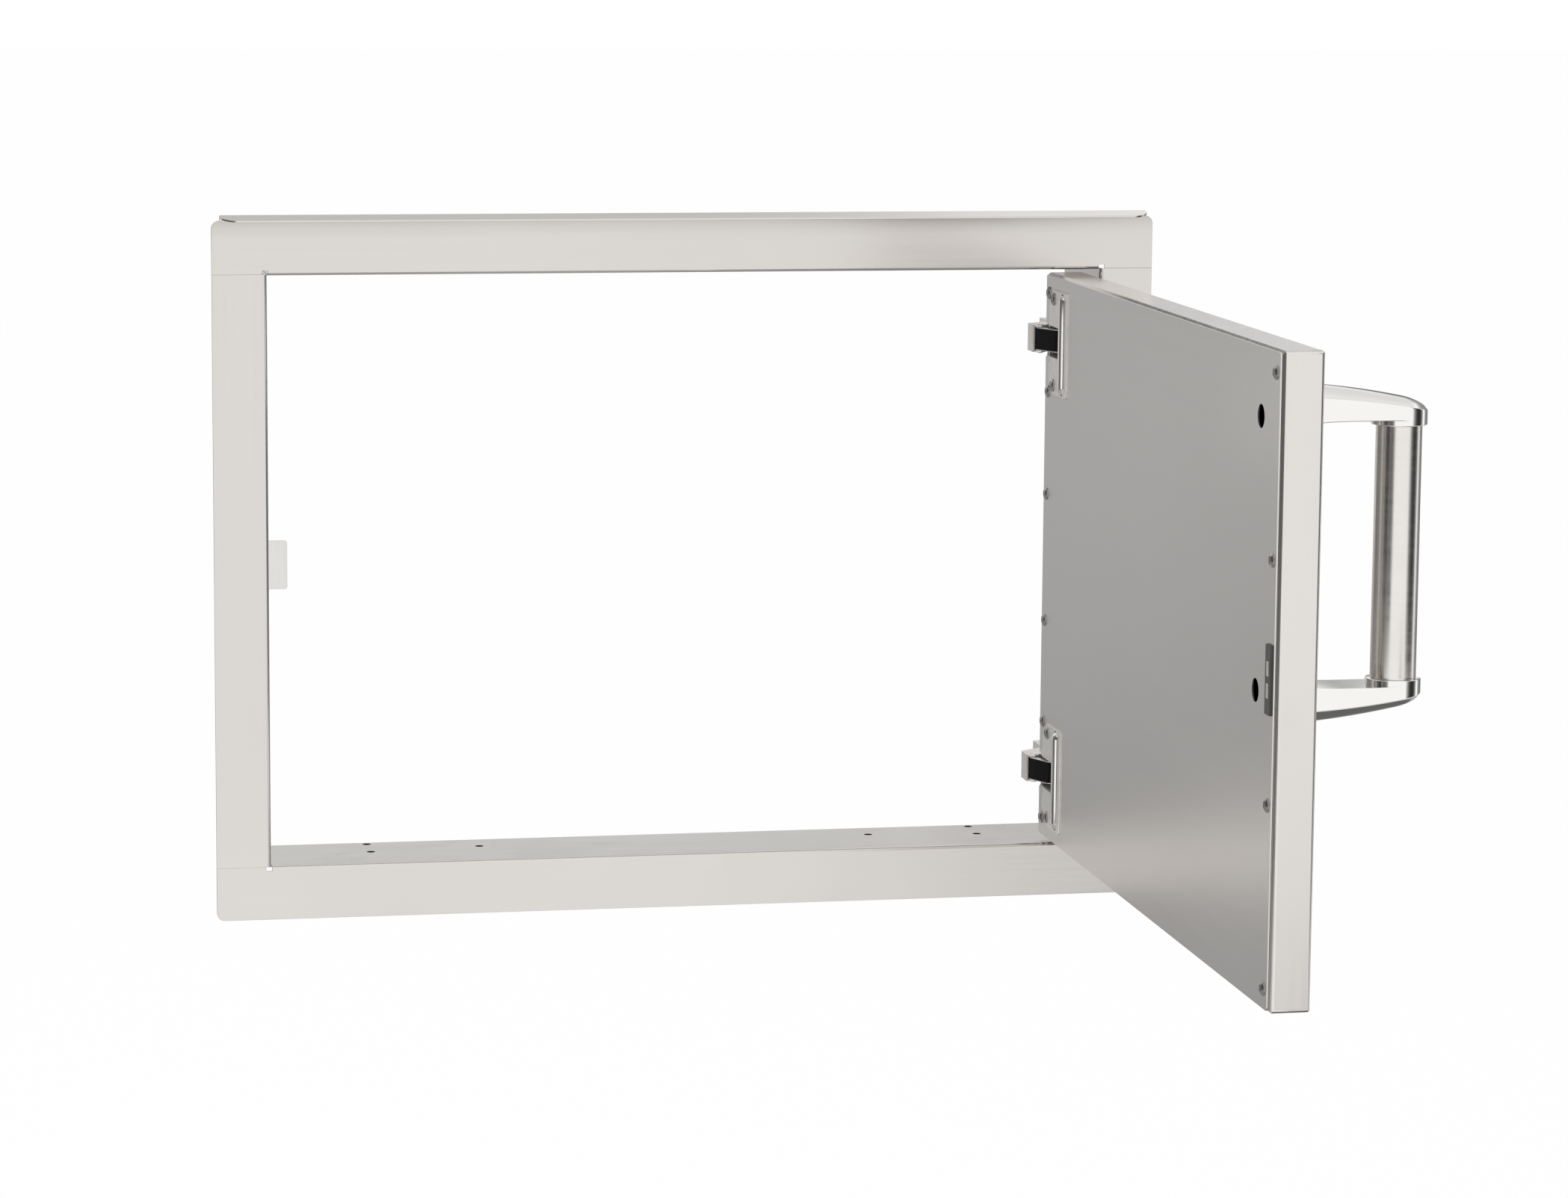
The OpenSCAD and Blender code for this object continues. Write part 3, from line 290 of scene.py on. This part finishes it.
# Brushing: fine lines and longer streaks along one axis, over the broad clouds of the mill.
brushed, given, result = effect_group("brushed grain", [
    ("Place", VECTOR, None), ("Across", VECTOR, (60.0, 2600.0, 2600.0)),
    ("Clouds Per Metre", FLOAT, 7.0), ("Pits", FLOAT, 0.35)],
    [("Lines", FLOAT), ("Clouds", FLOAT), ("Tone", FLOAT)])
along_grain = stretched(brushed, given["Place"], given["Across"])
streaks = noise(brushed, along_grain, waves=0.16, detail=3.0)
hairlines = noise(brushed, along_grain, waves=1.0, roughness=0.6)
lines = between(brushed, given["Pits"], streaks, hairlines)
cloud = noise(brushed, given["Place"], given["Clouds Per Metre"], roughness=0.45)
tone = between(brushed, 0.45, lines, cloud)
for label, value in (("Lines", lines), ("Clouds", cloud), ("Tone", tone)):
    brushed.links.new(value, result[label])

# Handling: dull patches where hands and cloths have been, with thin streaks of wiping in them.
handled, given, result = effect_group("handling marks", [
    ("Place", VECTOR, None), ("Marks Per Metre", FLOAT, 22.0), ("Strength", FLOAT, 0.05)],
    [("Rub", FLOAT), ("Film", FLOAT)])
patch = noise(handled, given["Place"], given["Marks Per Metre"], detail=4.0, roughness=0.55,
              distortion=0.6)
wipe = noise(handled, stretched(handled, given["Place"], WIPE_WAVES), waves=1.0)
film = maths(handled, "MULTIPLY", span(handled, patch, low=0.50, high=0.72),
             span(handled, wipe, low=0.35, high=0.65, new_low=0.45))
handled.links.new(film, result["Film"])
handled.links.new(maths(handled, "MULTIPLY", film, given["Strength"]), result["Rub"])


def object_place(tree):
    """The place on the piece in its own coordinates, in metres."""
    return wire(tree, "ShaderNodeTexCoord").outputs["Object"]


def placed(tree, group, **inputs):
    """A shared effect in a material's tree, with its inputs given by their names."""
    named = {key.replace("_", " "): value for key, value in inputs.items()}
    return wire(tree, "ShaderNodeGroup", named, node_tree=group).outputs


def two_tone(tree, tone, dark, pale):
    """A colour that runs from dark to pale over the middle of a tone's range."""
    return blended(tree, span(tree, tone, *MIDDLE), (*dark, 1), (*pale, 1))


def raised(tree, value, height, strength=1.0):
    """The normal of a skin that stands up by height, in metres, where the value is 1."""
    return wire(tree, "ShaderNodeBump", {"Strength": strength, "Distance": height,
                                         "Height": value}).outputs[0]


def surface(tree, colour, rough, normal, metallic=1.0, shine=0.5):
    """The material's output: one surface shader."""
    shader = wire(tree, "ShaderNodeBsdfPrincipled", {
        "Base Color": colour, "Metallic": metallic, "Roughness": rough,
        "Specular IOR Level": shine, "Normal": normal})
    wire(tree, "ShaderNodeOutputMaterial", {0: shader.outputs[0]})


def brushed_steel(name, pale, dark, rough, across, clouds=7.0, height=0.000002,
                  rough_spread=0.03, marks=0.04, marks_per_metre=18.0, painted_shades=()):
    """A brushed steel. Its colour runs from dark to pale with the grain's tone, its roughness
    with the lines and the handling marks, and the lines stand up by height in metres. Each
    painted shade is a function that makes a mask, and the darker colour that is painted inside
    it as shade."""
    m, t = new_material(name)
    place = object_place(t)
    grain = placed(t, brushed, Place=place, Across=across, Clouds_Per_Metre=clouds)
    hands = placed(t, handled, Place=place, Strength=marks, Marks_Per_Metre=marks_per_metre)
    colour = two_tone(t, grain["Tone"], dark, pale)
    for mask, shade_colour in painted_shades:
        colour = blended(t, mask(t, place), colour, (*shade_colour, 1))
    polish = span(t, grain["Lines"], *MIDDLE, rough - rough_spread, rough + rough_spread)
    surface(t, colour, maths(t, "ADD", polish, hands["Rub"]), raised(t, grain["Lines"], height))
    return m


def add_piece(name, mesh, body, material, node):
    """A finished piece: its material, the body that it moves with, and what it stands for."""
    obj = make_object(name, mesh)
    obj.data.materials.clear()
    obj.data.materials.append(material)
    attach(obj, body)
    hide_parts(node)
    return obj


# How far cut edges are eased, in metres: on small turned parts, thin sheet and thick sheet.
FINE_EDGE, THIN_EDGE, SOFT_EDGE = 0.0001, 0.00015, 0.0002
MERGE_DISTANCE, FLAT_ANGLE = 2e-6, math.radians(0.4)
BEND_ANGLE, EDGE_ANGLE = math.radians(28), math.radians(35)


def worked(node, body, material, rounding=SOFT_EDGE):
    """The same shape as a CAD node with its cut edges eased: a merged copy of the node's
    mesh, with flat areas joined, a small bevel on the sharp edges and smooth bends."""
    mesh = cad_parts[node].data.copy()
    bm = bmesh.new()
    bm.from_mesh(mesh)
    bmesh.ops.remove_doubles(bm, verts=bm.verts, dist=MERGE_DISTANCE)
    bmesh.ops.dissolve_limit(bm, angle_limit=FLAT_ANGLE, verts=bm.verts, edges=bm.edges)
    bm.to_mesh(mesh)
    bm.free()
    mesh.shade_smooth()
    mesh.set_sharp_from_angle(angle=BEND_ANGLE)
    obj = add_piece(node + "_finish", mesh, body, material, node)
    bevel = obj.modifiers.new("eased edges", "BEVEL")
    bevel.width, bevel.segments, bevel.limit_method = rounding, 2, "ANGLE"
    bevel.angle_limit = EDGE_ANGLE
    bevel.use_clamp_overlap = True
    flats = obj.modifiers.new("flat faces stay flat", "WEIGHTED_NORMAL")
    flats.mode, flats.weight, flats.keep_sharp = "FACE_AREA_WITH_ANGLE", 100, True


# Painted shade in the screw holes: the holes' size, the band of wall that is coloured dark as
# shade, and that dark colour.
HOLE_RADIUS, HOLE_SHADE_DEPTH, HOLE_SHADE_COLOUR = 0.0025, 0.00012, (0.07, 0.064, 0.06)
HOLE_PLACES = ((0.1935, 0.0603), (0.1935, 0.036), (0.1245, 0.044))


def painted_shade_in_holes(tree, place):
    """Where the rails' screw holes get painted shade: 1 within a thin band of their walls, and 0
    elsewhere. The nearest of the holes' upright axes, mirrored in x, is less than the radius and
    the band away."""
    flat = stretched(tree, place, (1, 1, 0))
    flat = wire(tree, "ShaderNodeVectorMath", {0: flat}, operation="ABSOLUTE").outputs[0]
    nearest = 1.0
    for x, y in HOLE_PLACES:
        away = wire(tree, "ShaderNodeVectorMath", {0: flat, 1: (x, y, 0)}, operation="DISTANCE")
        nearest = maths(tree, "MINIMUM", away.outputs["Value"], nearest)
    return maths(tree, "LESS_THAN", nearest, HOLE_RADIUS + HOLE_SHADE_DEPTH)


# Painted shade under the lip: the band's height and how it grows, where in x it is darkest, how
# wide it is, how faint and how dark it gets, and its darker colour.
LIP_EDGE_Z, SHADE_HEIGHT, SHADE_POWER = 0.2142, 0.0125, 1.6
DARKEST_SHADE_X, SHADE_REACH, SHADE_LEAST, SHADE_MOST = 0.165, 0.075, 0.33, 0.85
LIP_SHADE_COLOUR = (0.33, 0.31, 0.295)


def painted_shade_under_lip(tree, place):
    """The painted shade on the face under the lip: a darker band in the colour that stands in
    for the lip's shadow and for the lip's underside mirrored in the face. It grows upwards as a
    power of the share of its height, and it is deepest about one place in x, where its depth
    follows a bell curve."""
    axes = wire(tree, "ShaderNodeSeparateXYZ", {0: place}).outputs
    rise = span(tree, axes["Z"], LIP_EDGE_Z - SHADE_HEIGHT, LIP_EDGE_Z)
    rise = maths(tree, "POWER", rise, SHADE_POWER)
    below = maths(tree, "LESS_THAN", axes["Z"], LIP_EDGE_Z)
    off = maths(tree, "DIVIDE", maths(tree, "SUBTRACT", axes["X"], DARKEST_SHADE_X), SHADE_REACH)
    squared = maths(tree, "MULTIPLY", off, off)
    bell = maths(tree, "POWER", math.e, maths(tree, "MULTIPLY", squared, -1.0))
    depth = span(tree, bell, 0.0, 1.0, SHADE_LEAST, SHADE_MOST)
    return maths(tree, "MULTIPLY", maths(tree, "MULTIPLY", rise, below), depth)


FRAME_PALE, FRAME_DARK = (0.745, 0.714, 0.686), (0.700, 0.670, 0.642)
# The rails' colour holds painted shade: a darker band on the face under the lip, and dark walls
# in the screw holes.
rail_steel = brushed_steel(
    "frame steel brushed along x", FRAME_PALE, FRAME_DARK, rough=0.20,
    across=(30.0, 1500.0, 1500.0),
    painted_shades=((painted_shade_under_lip, LIP_SHADE_COLOUR), (painted_shade_in_holes, HOLE_SHADE_COLOUR)))
stile_steel = brushed_steel(
    "frame steel brushed along z", FRAME_PALE, FRAME_DARK, rough=0.20,
    across=(1500.0, 1500.0, 30.0))
for rail in ("top_rail", "bottom_rail"):
    worked(rail, "frame", rail_steel)
for stile in ("left_stile", "right_stile"):
    worked(stile, "frame", stile_steel)

# ---- Strike ------------------------------------------------------------------------------
# A small angle of bright stainless sheet that the catch's magnet holds on to. Its foot lies on
# the left stile's depth and is held by two rivets with low heads.
BRIGHT_PALE = (0.80, 0.785, 0.765)
bright_sheet = brushed_steel(
    "bright sheet", BRIGHT_PALE, (0.72, 0.705, 0.69), rough=0.18,
    across=(1800.0, 1800.0, 60.0), clouds=40.0)
fastener = brushed_steel(
    "bright fastener", BRIGHT_PALE, (0.66, 0.65, 0.635), rough=0.14,
    across=(900.0, 900.0, 900.0), clouds=180.0, marks_per_metre=160.0)
worked("strike_plate", "frame", bright_sheet, THIN_EDGE)
worked("strike_rivets", "frame", fastener, FINE_EDGE)

# ---- Hinges on the frame: mounting plates and arms ---------------------------------------
# Each cross mounting plate is a zinc-plated casting, held to the right stile by two machine
# screws with nuts behind. The nickel-plated arm is screwed on top and ends in a fork with pins.
plated, given, result = effect_group("plated skin", [
    ("Place", VECTOR, None), ("Grains Per Metre", FLOAT, 900.0),
    ("Clouds Per Metre", FLOAT, 90.0)],
    [("Grain", FLOAT), ("Tone", FLOAT)])
spangle = wire(plated, "ShaderNodeTexVoronoi", {
    "Vector": given["Place"], "Scale": given["Grains Per Metre"]}).outputs["Color"]
grain = wire(plated, "ShaderNodeSeparateColor", {0: spangle}).outputs[0]
mist = noise(plated, given["Place"], given["Clouds Per Metre"], detail=3.0, roughness=0.6)
plated.links.new(grain, result["Grain"])
plated.links.new(between(plated, 0.7, grain, mist), result["Tone"])


def plating(name, pale, dark, rough, grains=900.0, clouds=90.0, height=0.000001, spread=0.05):
    """A plated metal: a fine crystal grain under soft clouds drives its colour and its
    roughness, and the grain stands up by height in metres."""
    m, t = new_material(name)
    place = object_place(t)
    skin = placed(t, plated, Place=place, Grains_Per_Metre=grains, Clouds_Per_Metre=clouds)
    hands = placed(t, handled, Place=place, Marks_Per_Metre=70.0, Strength=0.06)
    colour = two_tone(t, skin["Tone"], dark, pale)
    polish = span(t, skin["Tone"], *MIDDLE, rough + spread, rough - spread)
    surface(t, colour, maths(t, "ADD", polish, hands["Rub"]),
            raised(t, skin["Grain"], height, strength=0.7))
    return m


nickel = plating("nickel plate", (0.93, 0.905, 0.875), (0.84, 0.815, 0.79), rough=0.40)
zinc = plating("zinc plate", (0.80, 0.80, 0.79), (0.66, 0.665, 0.66), rough=0.34,
               grains=600.0, clouds=60.0, height=0.000003, spread=0.08)
CASTING_EDGE = 0.00025
worked("mounting_plates", "frame", zinc, CASTING_EDGE)
worked("mounting_nuts", "frame", zinc, THIN_EDGE)
worked("hinge_arms", "frame", nickel)
for node in ("mounting_screws", "arm_screws", "arm_pivot_pins"):
    worked(node, "frame", fastener, FINE_EDGE)

# ---- Hinge links -------------------------------------------------------------------------
# Two nickel-plated side plates carry the door from the arm's pins to the cup, with a moulded
# black cover between them that keeps fingers away from the spring inside.
PEBBLE_HEIGHT, SMOOTHEST, ROUGHEST = 0.00001, -0.05, 0.07
moulded, given, result = effect_group("moulded skin", [
    ("Place", VECTOR, None), ("Grains Per Metre", FLOAT, 2200.0)],
    [("Height", FLOAT), ("Tone", FLOAT)])
pebble = wire(moulded, "ShaderNodeTexVoronoi", {
    "Vector": given["Place"], "Scale": given["Grains Per Metre"]},
    feature="SMOOTH_F1").outputs["Distance"]
moulded.links.new(pebble, result["Height"])
cast = noise(moulded, given["Place"], waves=130.0, detail=4.0, roughness=0.6)
moulded.links.new(cast, result["Tone"])


def plastic(name, pale, dark, rough, shine, grains=2200.0):
    """A moulded plastic with the spark-eroded skin of its tool: fine pebbles, faint clouds in
    its colour and roughness, and a level of shine."""
    m, t = new_material(name)
    skin = placed(t, moulded, Place=object_place(t), Grains_Per_Metre=grains)
    colour = two_tone(t, skin["Tone"], dark, pale)
    rub = span(t, skin["Tone"], *MIDDLE, rough + SMOOTHEST, rough + ROUGHEST)
    surface(t, colour, rub, raised(t, skin["Height"], PEBBLE_HEIGHT, strength=0.8),
            metallic=0.0, shine=shine)
    return m


black_plastic = plastic("black plastic", (0.0045, 0.0045, 0.0045), (0.0025, 0.0025, 0.0025),
                        rough=0.55, shine=0.14)
worked("outer_links", "links", nickel, FINE_EDGE)
worked("link_covers", "links", black_plastic)

# ---- Door pan ----------------------------------------------------------------------------
# The door's front is one sheet folded into a shallow pan, with return flanges all round the
# back. It was brushed from top to bottom on its face, and its corners are welded and dressed.
door_steel = brushed_steel(
    "door steel", (0.80, 0.768, 0.735), (0.76, 0.728, 0.70), rough=0.20,
    across=(1500.0, 1500.0, 30.0), clouds=6.0)
worked("door_pan", "door", door_steel, THIN_EDGE)

# ---- Door liner --------------------------------------------------------------------------
# A flat stainless sheet closes the back of the pan. It has openings for the catch and the hinge
# cups and two access holes behind the handle, and ten pan head screws hold it.
liner_steel = brushed_steel(
    "liner steel", (0.735, 0.710, 0.685), (0.70, 0.676, 0.652), rough=0.30,
    across=(200.0, 30.0, 1200.0), clouds=5.0, height=0.0000006, rough_spread=0.015,
    marks=0.02, marks_per_metre=9.0)
LINER_EDGE = 0.0004
worked("door_liner", "door", liner_steel, LINER_EDGE)
screw_steel = brushed_steel(
    "screw steel", (0.50, 0.485, 0.47), (0.38, 0.37, 0.355), rough=0.20,
    across=(900.0, 900.0, 900.0), clouds=180.0, marks_per_metre=160.0)
worked("liner_screws", "door", screw_steel, FINE_EDGE)

# ---- Hinge cups and dampers --------------------------------------------------------------
# Each pressed cup sits in the liner under a flat flange with two screws. A polished barrel with
# round ends lies along it and holds the damper's piston. A pin through the cup carries the link.
polished = brushed_steel(
    "polished barrel", (0.90, 0.88, 0.86), (0.84, 0.82, 0.80), rough=0.10,
    across=(900.0, 900.0, 90.0), clouds=60.0, marks_per_metre=60.0)
worked("cup_bodies", "door", nickel)
worked("cup_flanges", "door", nickel, THIN_EDGE)
worked("damper_barrels", "door", polished, FINE_EDGE)
worked("damper_pistons", "door", black_plastic, FINE_EDGE)
worked("cup_screws", "door", screw_steel, FINE_EDGE)
worked("cup_pins", "door", fastener, FINE_EDGE)

# ---- Catch -------------------------------------------------------------------------------
# A magnetic catch is pressed into the liner's free edge: a dark grey nylon housing with a magnet
# inside, whose pull comes out through two steel pole strips.
nylon = plastic("dark nylon", (0.075, 0.072, 0.07), (0.055, 0.053, 0.05), rough=0.45, shine=0.4)
ferrite = plastic("ferrite", (0.030, 0.029, 0.028), (0.018, 0.018, 0.018), rough=0.6,
                  shine=0.4, grains=4000.0)
worked("catch_housing", "door", nylon)
worked("catch_poles", "door", bright_sheet, FINE_EDGE)
worked("catch_magnet", "door", ferrite, FINE_EDGE)

# ---- Handle ------------------------------------------------------------------------------
# A tube of brushed steel between two polished cast brackets, each with a thin ring under it.
# The brackets are screwed through the door's front, and a rod inside the tube draws them in.
DOOR_FRONT_X = 0.2531
GRIP_X, GRIP_Y, GRIP_Z = 0.305900, -0.457200, 0.066
GRIP_RADIUS, GRIP_WALL, GRIP_HALF, GRIP_ROUND = 0.0124, 0.0015, 0.0687, 0.0004
RING_RADIUS, RING_HEIGHT, SPIGOT_PLAY, ROD_HOLE = 0.01505, 0.0032, 0.00005, 0.00305
RING_ROUNDS = (0, 0.0006, 0, 0.0005, 0, 0)
TURNED_STEPS, SHARP_ANGLE = 128, math.radians(35)


def turned(name, profile):
    """A turned piece about the grip's axis: point (r, z) of the closed profile goes to
    (r cos a, r sin a, z) from the axis, for angles a all the way round. Profiles run
    anticlockwise with r to the right and z upwards, so that the faces point outwards."""
    r, z = np.asarray(profile, float).T
    a = np.linspace(0, 2 * np.pi, TURNED_STEPS, endpoint=False)
    points = np.stack([GRIP_X + np.outer(r, np.cos(a)), GRIP_Y + np.outer(r, np.sin(a)),
                       np.repeat(z[:, None], TURNED_STEPS, 1)], -1)
    return grid_mesh(name, points, closed_rows=True)


def grid_mesh(name, points, closed_rows=False):
    """A mesh through a grid of points, whose faces join neighbours (i, j), (i, j+1),
    (i+1, j+1), (i+1, j). The last column meets the first, and so does the last row where the
    rows are closed. Doubled points are merged, which closes poles and folded rows."""
    rows, columns = points.shape[:2]
    index = np.arange(rows * columns).reshape(rows, columns)
    if closed_rows:
        index = np.concatenate([index, index[:1]], 0)
    index = np.concatenate([index, index[:, :1]], 1)
    faces = np.stack([index[:-1, :-1], index[:-1, 1:], index[1:, 1:], index[1:, :-1]], -1)
    mesh = bpy.data.meshes.new(name)
    mesh.from_pydata(points.reshape(-1, 3), [], faces.reshape(-1, 4))
    bm = bmesh.new()
    bm.from_mesh(mesh)
    bmesh.ops.remove_doubles(bm, verts=bm.verts, dist=1e-7)
    bmesh.ops.dissolve_degenerate(bm, edges=bm.edges, dist=1e-8)
    bmesh.ops.recalc_face_normals(bm, faces=bm.faces)
    bm.to_mesh(mesh)
    bm.free()
    mesh.shade_smooth()
    mesh.set_sharp_from_angle(angle=SHARP_ANGLE)
    return mesh


def rounded_profile(corners, radii, steps=6):
    """A closed profile whose corners are rounded: each corner's arc touches both sides at the
    distance radius / tan(half the corner's angle), and its points are steps + 1 equal angles."""
    corners = np.asarray(corners, float)
    out = []
    for k, radius in enumerate(radii):
        before, corner, after = corners[k - 1], corners[k], corners[(k + 1) % len(corners)]
        if radius <= 0:
            out.append(corner[None])
            continue
        u = (before - corner) / np.linalg.norm(before - corner)
        v = (after - corner) / np.linalg.norm(after - corner)
        half = math.acos(np.clip(u @ v, -1, 1)) / 2
        centre = corner + (u + v) / np.linalg.norm(u + v) * radius / math.sin(half)
        first, last = corner + u * radius / math.tan(half), corner + v * radius / math.tan(half)
        start = math.atan2(*(first - centre)[::-1])
        turn = math.atan2(*(last - centre)[::-1]) - start
        sweep = (turn + math.pi) % (2 * math.pi) - math.pi
        a = start + sweep * np.linspace(0, 1, steps + 1)
        out.append(centre + radius * np.stack([np.cos(a), np.sin(a)], 1))
    return np.concatenate(out)


chrome = brushed_steel(
    "chrome", (0.94, 0.93, 0.91), (0.91, 0.90, 0.88), rough=0.05,
    across=(400.0, 400.0, 400.0), clouds=20.0, height=0.0000004, rough_spread=0.01,
    marks=0.03, marks_per_metre=40.0)
satin = brushed_steel(
    "satin grip", (0.87, 0.845, 0.81), (0.79, 0.766, 0.736), rough=0.20,
    across=(300.0, 300.0, 2400.0), clouds=30.0, marks=0.05, marks_per_metre=45.0)

bore = GRIP_RADIUS - GRIP_WALL
low, high = GRIP_Z - GRIP_HALF, GRIP_Z + GRIP_HALF
tube_profile = rounded_profile([(bore, low), (GRIP_RADIUS, low), (GRIP_RADIUS, high),
                                (bore, high)], [GRIP_ROUND] * 4)
add_piece("grip_tube", turned("grip_tube", tube_profile), "door", satin,
          "handle_grip")


def joined(name, meshes):
    """One mesh from several, kept as loose shells."""
    bm = bmesh.new()
    for mesh in meshes:
        bm.from_mesh(mesh)
    out = bpy.data.meshes.new(name)
    bm.to_mesh(out)
    bm.free()
    out.shade_smooth()
    out.set_sharp_from_angle(angle=SHARP_ANGLE)
    return out


# The rings sit between the tube and the brackets, and a spigot on each enters the tube.
spigot = bore - SPIGOT_PLAY
rings = []
for side in (1, -1):
    base, top = GRIP_Z + side * GRIP_HALF, GRIP_Z + side * (GRIP_HALF + RING_HEIGHT)
    foot = GRIP_Z + side * (GRIP_HALF - 3 * RING_HEIGHT)
    profile = [(ROD_HOLE, foot), (spigot, foot), (spigot, base), (RING_RADIUS, base),
               (RING_RADIUS, top), (ROD_HOLE, top)]
    rings.append(turned("ring", rounded_profile(profile[::side], RING_ROUNDS[::side])))
add_piece("grip_rings", joined("grip_rings", rings), "door", chrome,
          "handle_collars")

# A bracket is an arm with a round end over the tube. Its sides are upright, its top is crowned
# and falls towards the end, and a rounded shoulder joins the two. Heights are above the
# grip's middle, and shares are of the arm's half width or of its reach from the door.
ARM_HALF, ARM_REACH = 0.01505, 0.06785
ARM_STRAIGHT = ARM_REACH - ARM_HALF
ARM_FOOT, HEEL, HEEL_SLOPE = 0.0719, 0.00128, 3
SIDE_AT_DOOR, SIDE_AT_END, EVEN_FALL = 0.0126, 0.0045, 0.35
CROWN_AT_DOOR, CROWN_AT_END, CROWN_POWER, CROWN_BLEND = 0.0048, 0.0022, 2.6, 0.0005
SHOULDER, SHOULDER_SHARE = 0.0026, 0.84
RIM_SHARE, RIM_DROP, RIM_FALL, SIDE_START = 0.025, 0.0007, 0.0001, 0.0006
EDGE_HEIGHT, EDGE_SHARE, EDGE_FADE = 0.0005, 0.033, 0.006
ARM_STEPS, END_STEPS = 32, 48
CROWN_ROWS = np.concatenate([np.linspace(0, 0.80, 21), np.linspace(0.815, 0.965, 11)])


def bracket_mesh(name, side):
    """The surface of one bracket, side = 1 for the upper and -1 for the lower one. Rows run
    from the crown's ridge out to the rim, down the side and back under the arm; columns run
    round the arm's plan: out along one side, half a circle round the end, and back. In a row
    of share q the plan's half width is q times that of the rim. The crown is
    shoulder + c (1 - (q / shoulder share) ^ power) above the side, where c falls from the
    door to the end. The shoulder is straight, shoulder * (1 - q) / (1 - shoulder share), and
    a smooth minimum blends the two."""
    half_turn = np.linspace(-np.pi / 2, np.pi / 2, END_STEPS + 1)
    along = np.linspace(0, 1, ARM_STEPS + 1)[:-1]
    quarter = np.linspace(0, math.pi / 2, 5)[1:]

    def plan(q):
        r = q * ARM_HALF
        w = np.concatenate([np.full(ARM_STEPS, -r), r * np.sin(half_turn),
                            np.full(ARM_STEPS, r)])
        s = np.concatenate([ARM_STRAIGHT * along, ARM_STRAIGHT + r * np.cos(half_turn),
                            ARM_STRAIGHT * along[::-1]])
        return w, s, s / ARM_REACH

    def side_top(t):
        fall = EVEN_FALL * t + (1 - EVEN_FALL) * t ** 2
        return ARM_FOOT + SIDE_AT_DOOR - (SIDE_AT_DOOR - SIDE_AT_END) * fall

    def side_low(t):
        return ARM_FOOT - HEEL * np.maximum(0, 1 - HEEL_SLOPE * t) ** 2

    rows = []
    for q in CROWN_ROWS:
        w, s, t = plan(q)
        crown = CROWN_AT_DOOR - (CROWN_AT_DOOR - CROWN_AT_END) * t
        a = SHOULDER + crown * (1 - (q / SHOULDER_SHARE) ** CROWN_POWER)
        b = SHOULDER * (1 - q) / (1 - SHOULDER_SHARE)
        h = np.clip(0.5 + (b - a) / (2 * CROWN_BLEND), 0, 1)
        rows.append((w, s, side_top(t) + b + (a - b) * h - CROWN_BLEND * h * (1 - h)))
    # the rim: an arc that turns from the shoulder's slope to upright
    for turn in np.linspace(0, 1, 6):
        w, s, t = plan(1 - RIM_SHARE + RIM_SHARE * math.sin(turn * math.pi / 2))
        drop = RIM_DROP * (1 - math.cos(turn * math.pi / 2)) + RIM_FALL * turn
        rows.append((w, s, side_top(t) + SHOULDER * RIM_SHARE / (1 - SHOULDER_SHARE) - drop))
    # the upright side, and the eased edge below it, which fades out round the end
    w, s, t = plan(1.0)
    top_z, low_z = side_top(t) - SIDE_START, side_low(t) + EDGE_HEIGHT
    for share in np.linspace(0, 1, 5)[1:]:
        rows.append((w, s, top_z + (low_z - top_z) * share))
    on_arm = np.clip((ARM_STRAIGHT - s) / EDGE_FADE, 0, 1)
    for turn in quarter:
        q = 1 - EDGE_SHARE * on_arm * (1 - math.cos(turn))
        rows.append((w * q, np.minimum(s, ARM_STRAIGHT + (s - ARM_STRAIGHT) * q),
                     side_low(t) + EDGE_HEIGHT * (1 - math.sin(turn))))
    for q in np.linspace(0.95, 0, 8):
        w, s, t = plan(q)
        rows.append((w, s, side_low(t)))
    w, s, h = (np.array([row[i] for row in rows]) for i in range(3))
    return grid_mesh(name, np.stack([DOOR_FRONT_X + s, GRIP_Y + w, GRIP_Z + side * h], -1))


for name, side in (("upper", 1), ("lower", -1)):
    add_piece("bracket_" + name, bracket_mesh("bracket_" + name, side), "door", chrome,
              "handle_bracket_" + name)

worked("handle_tie_rod", "door", zinc, FINE_EDGE)
worked("handle_washers", "door", zinc, FINE_EDGE)
worked("handle_screws", "door", fastener, FINE_EDGE)
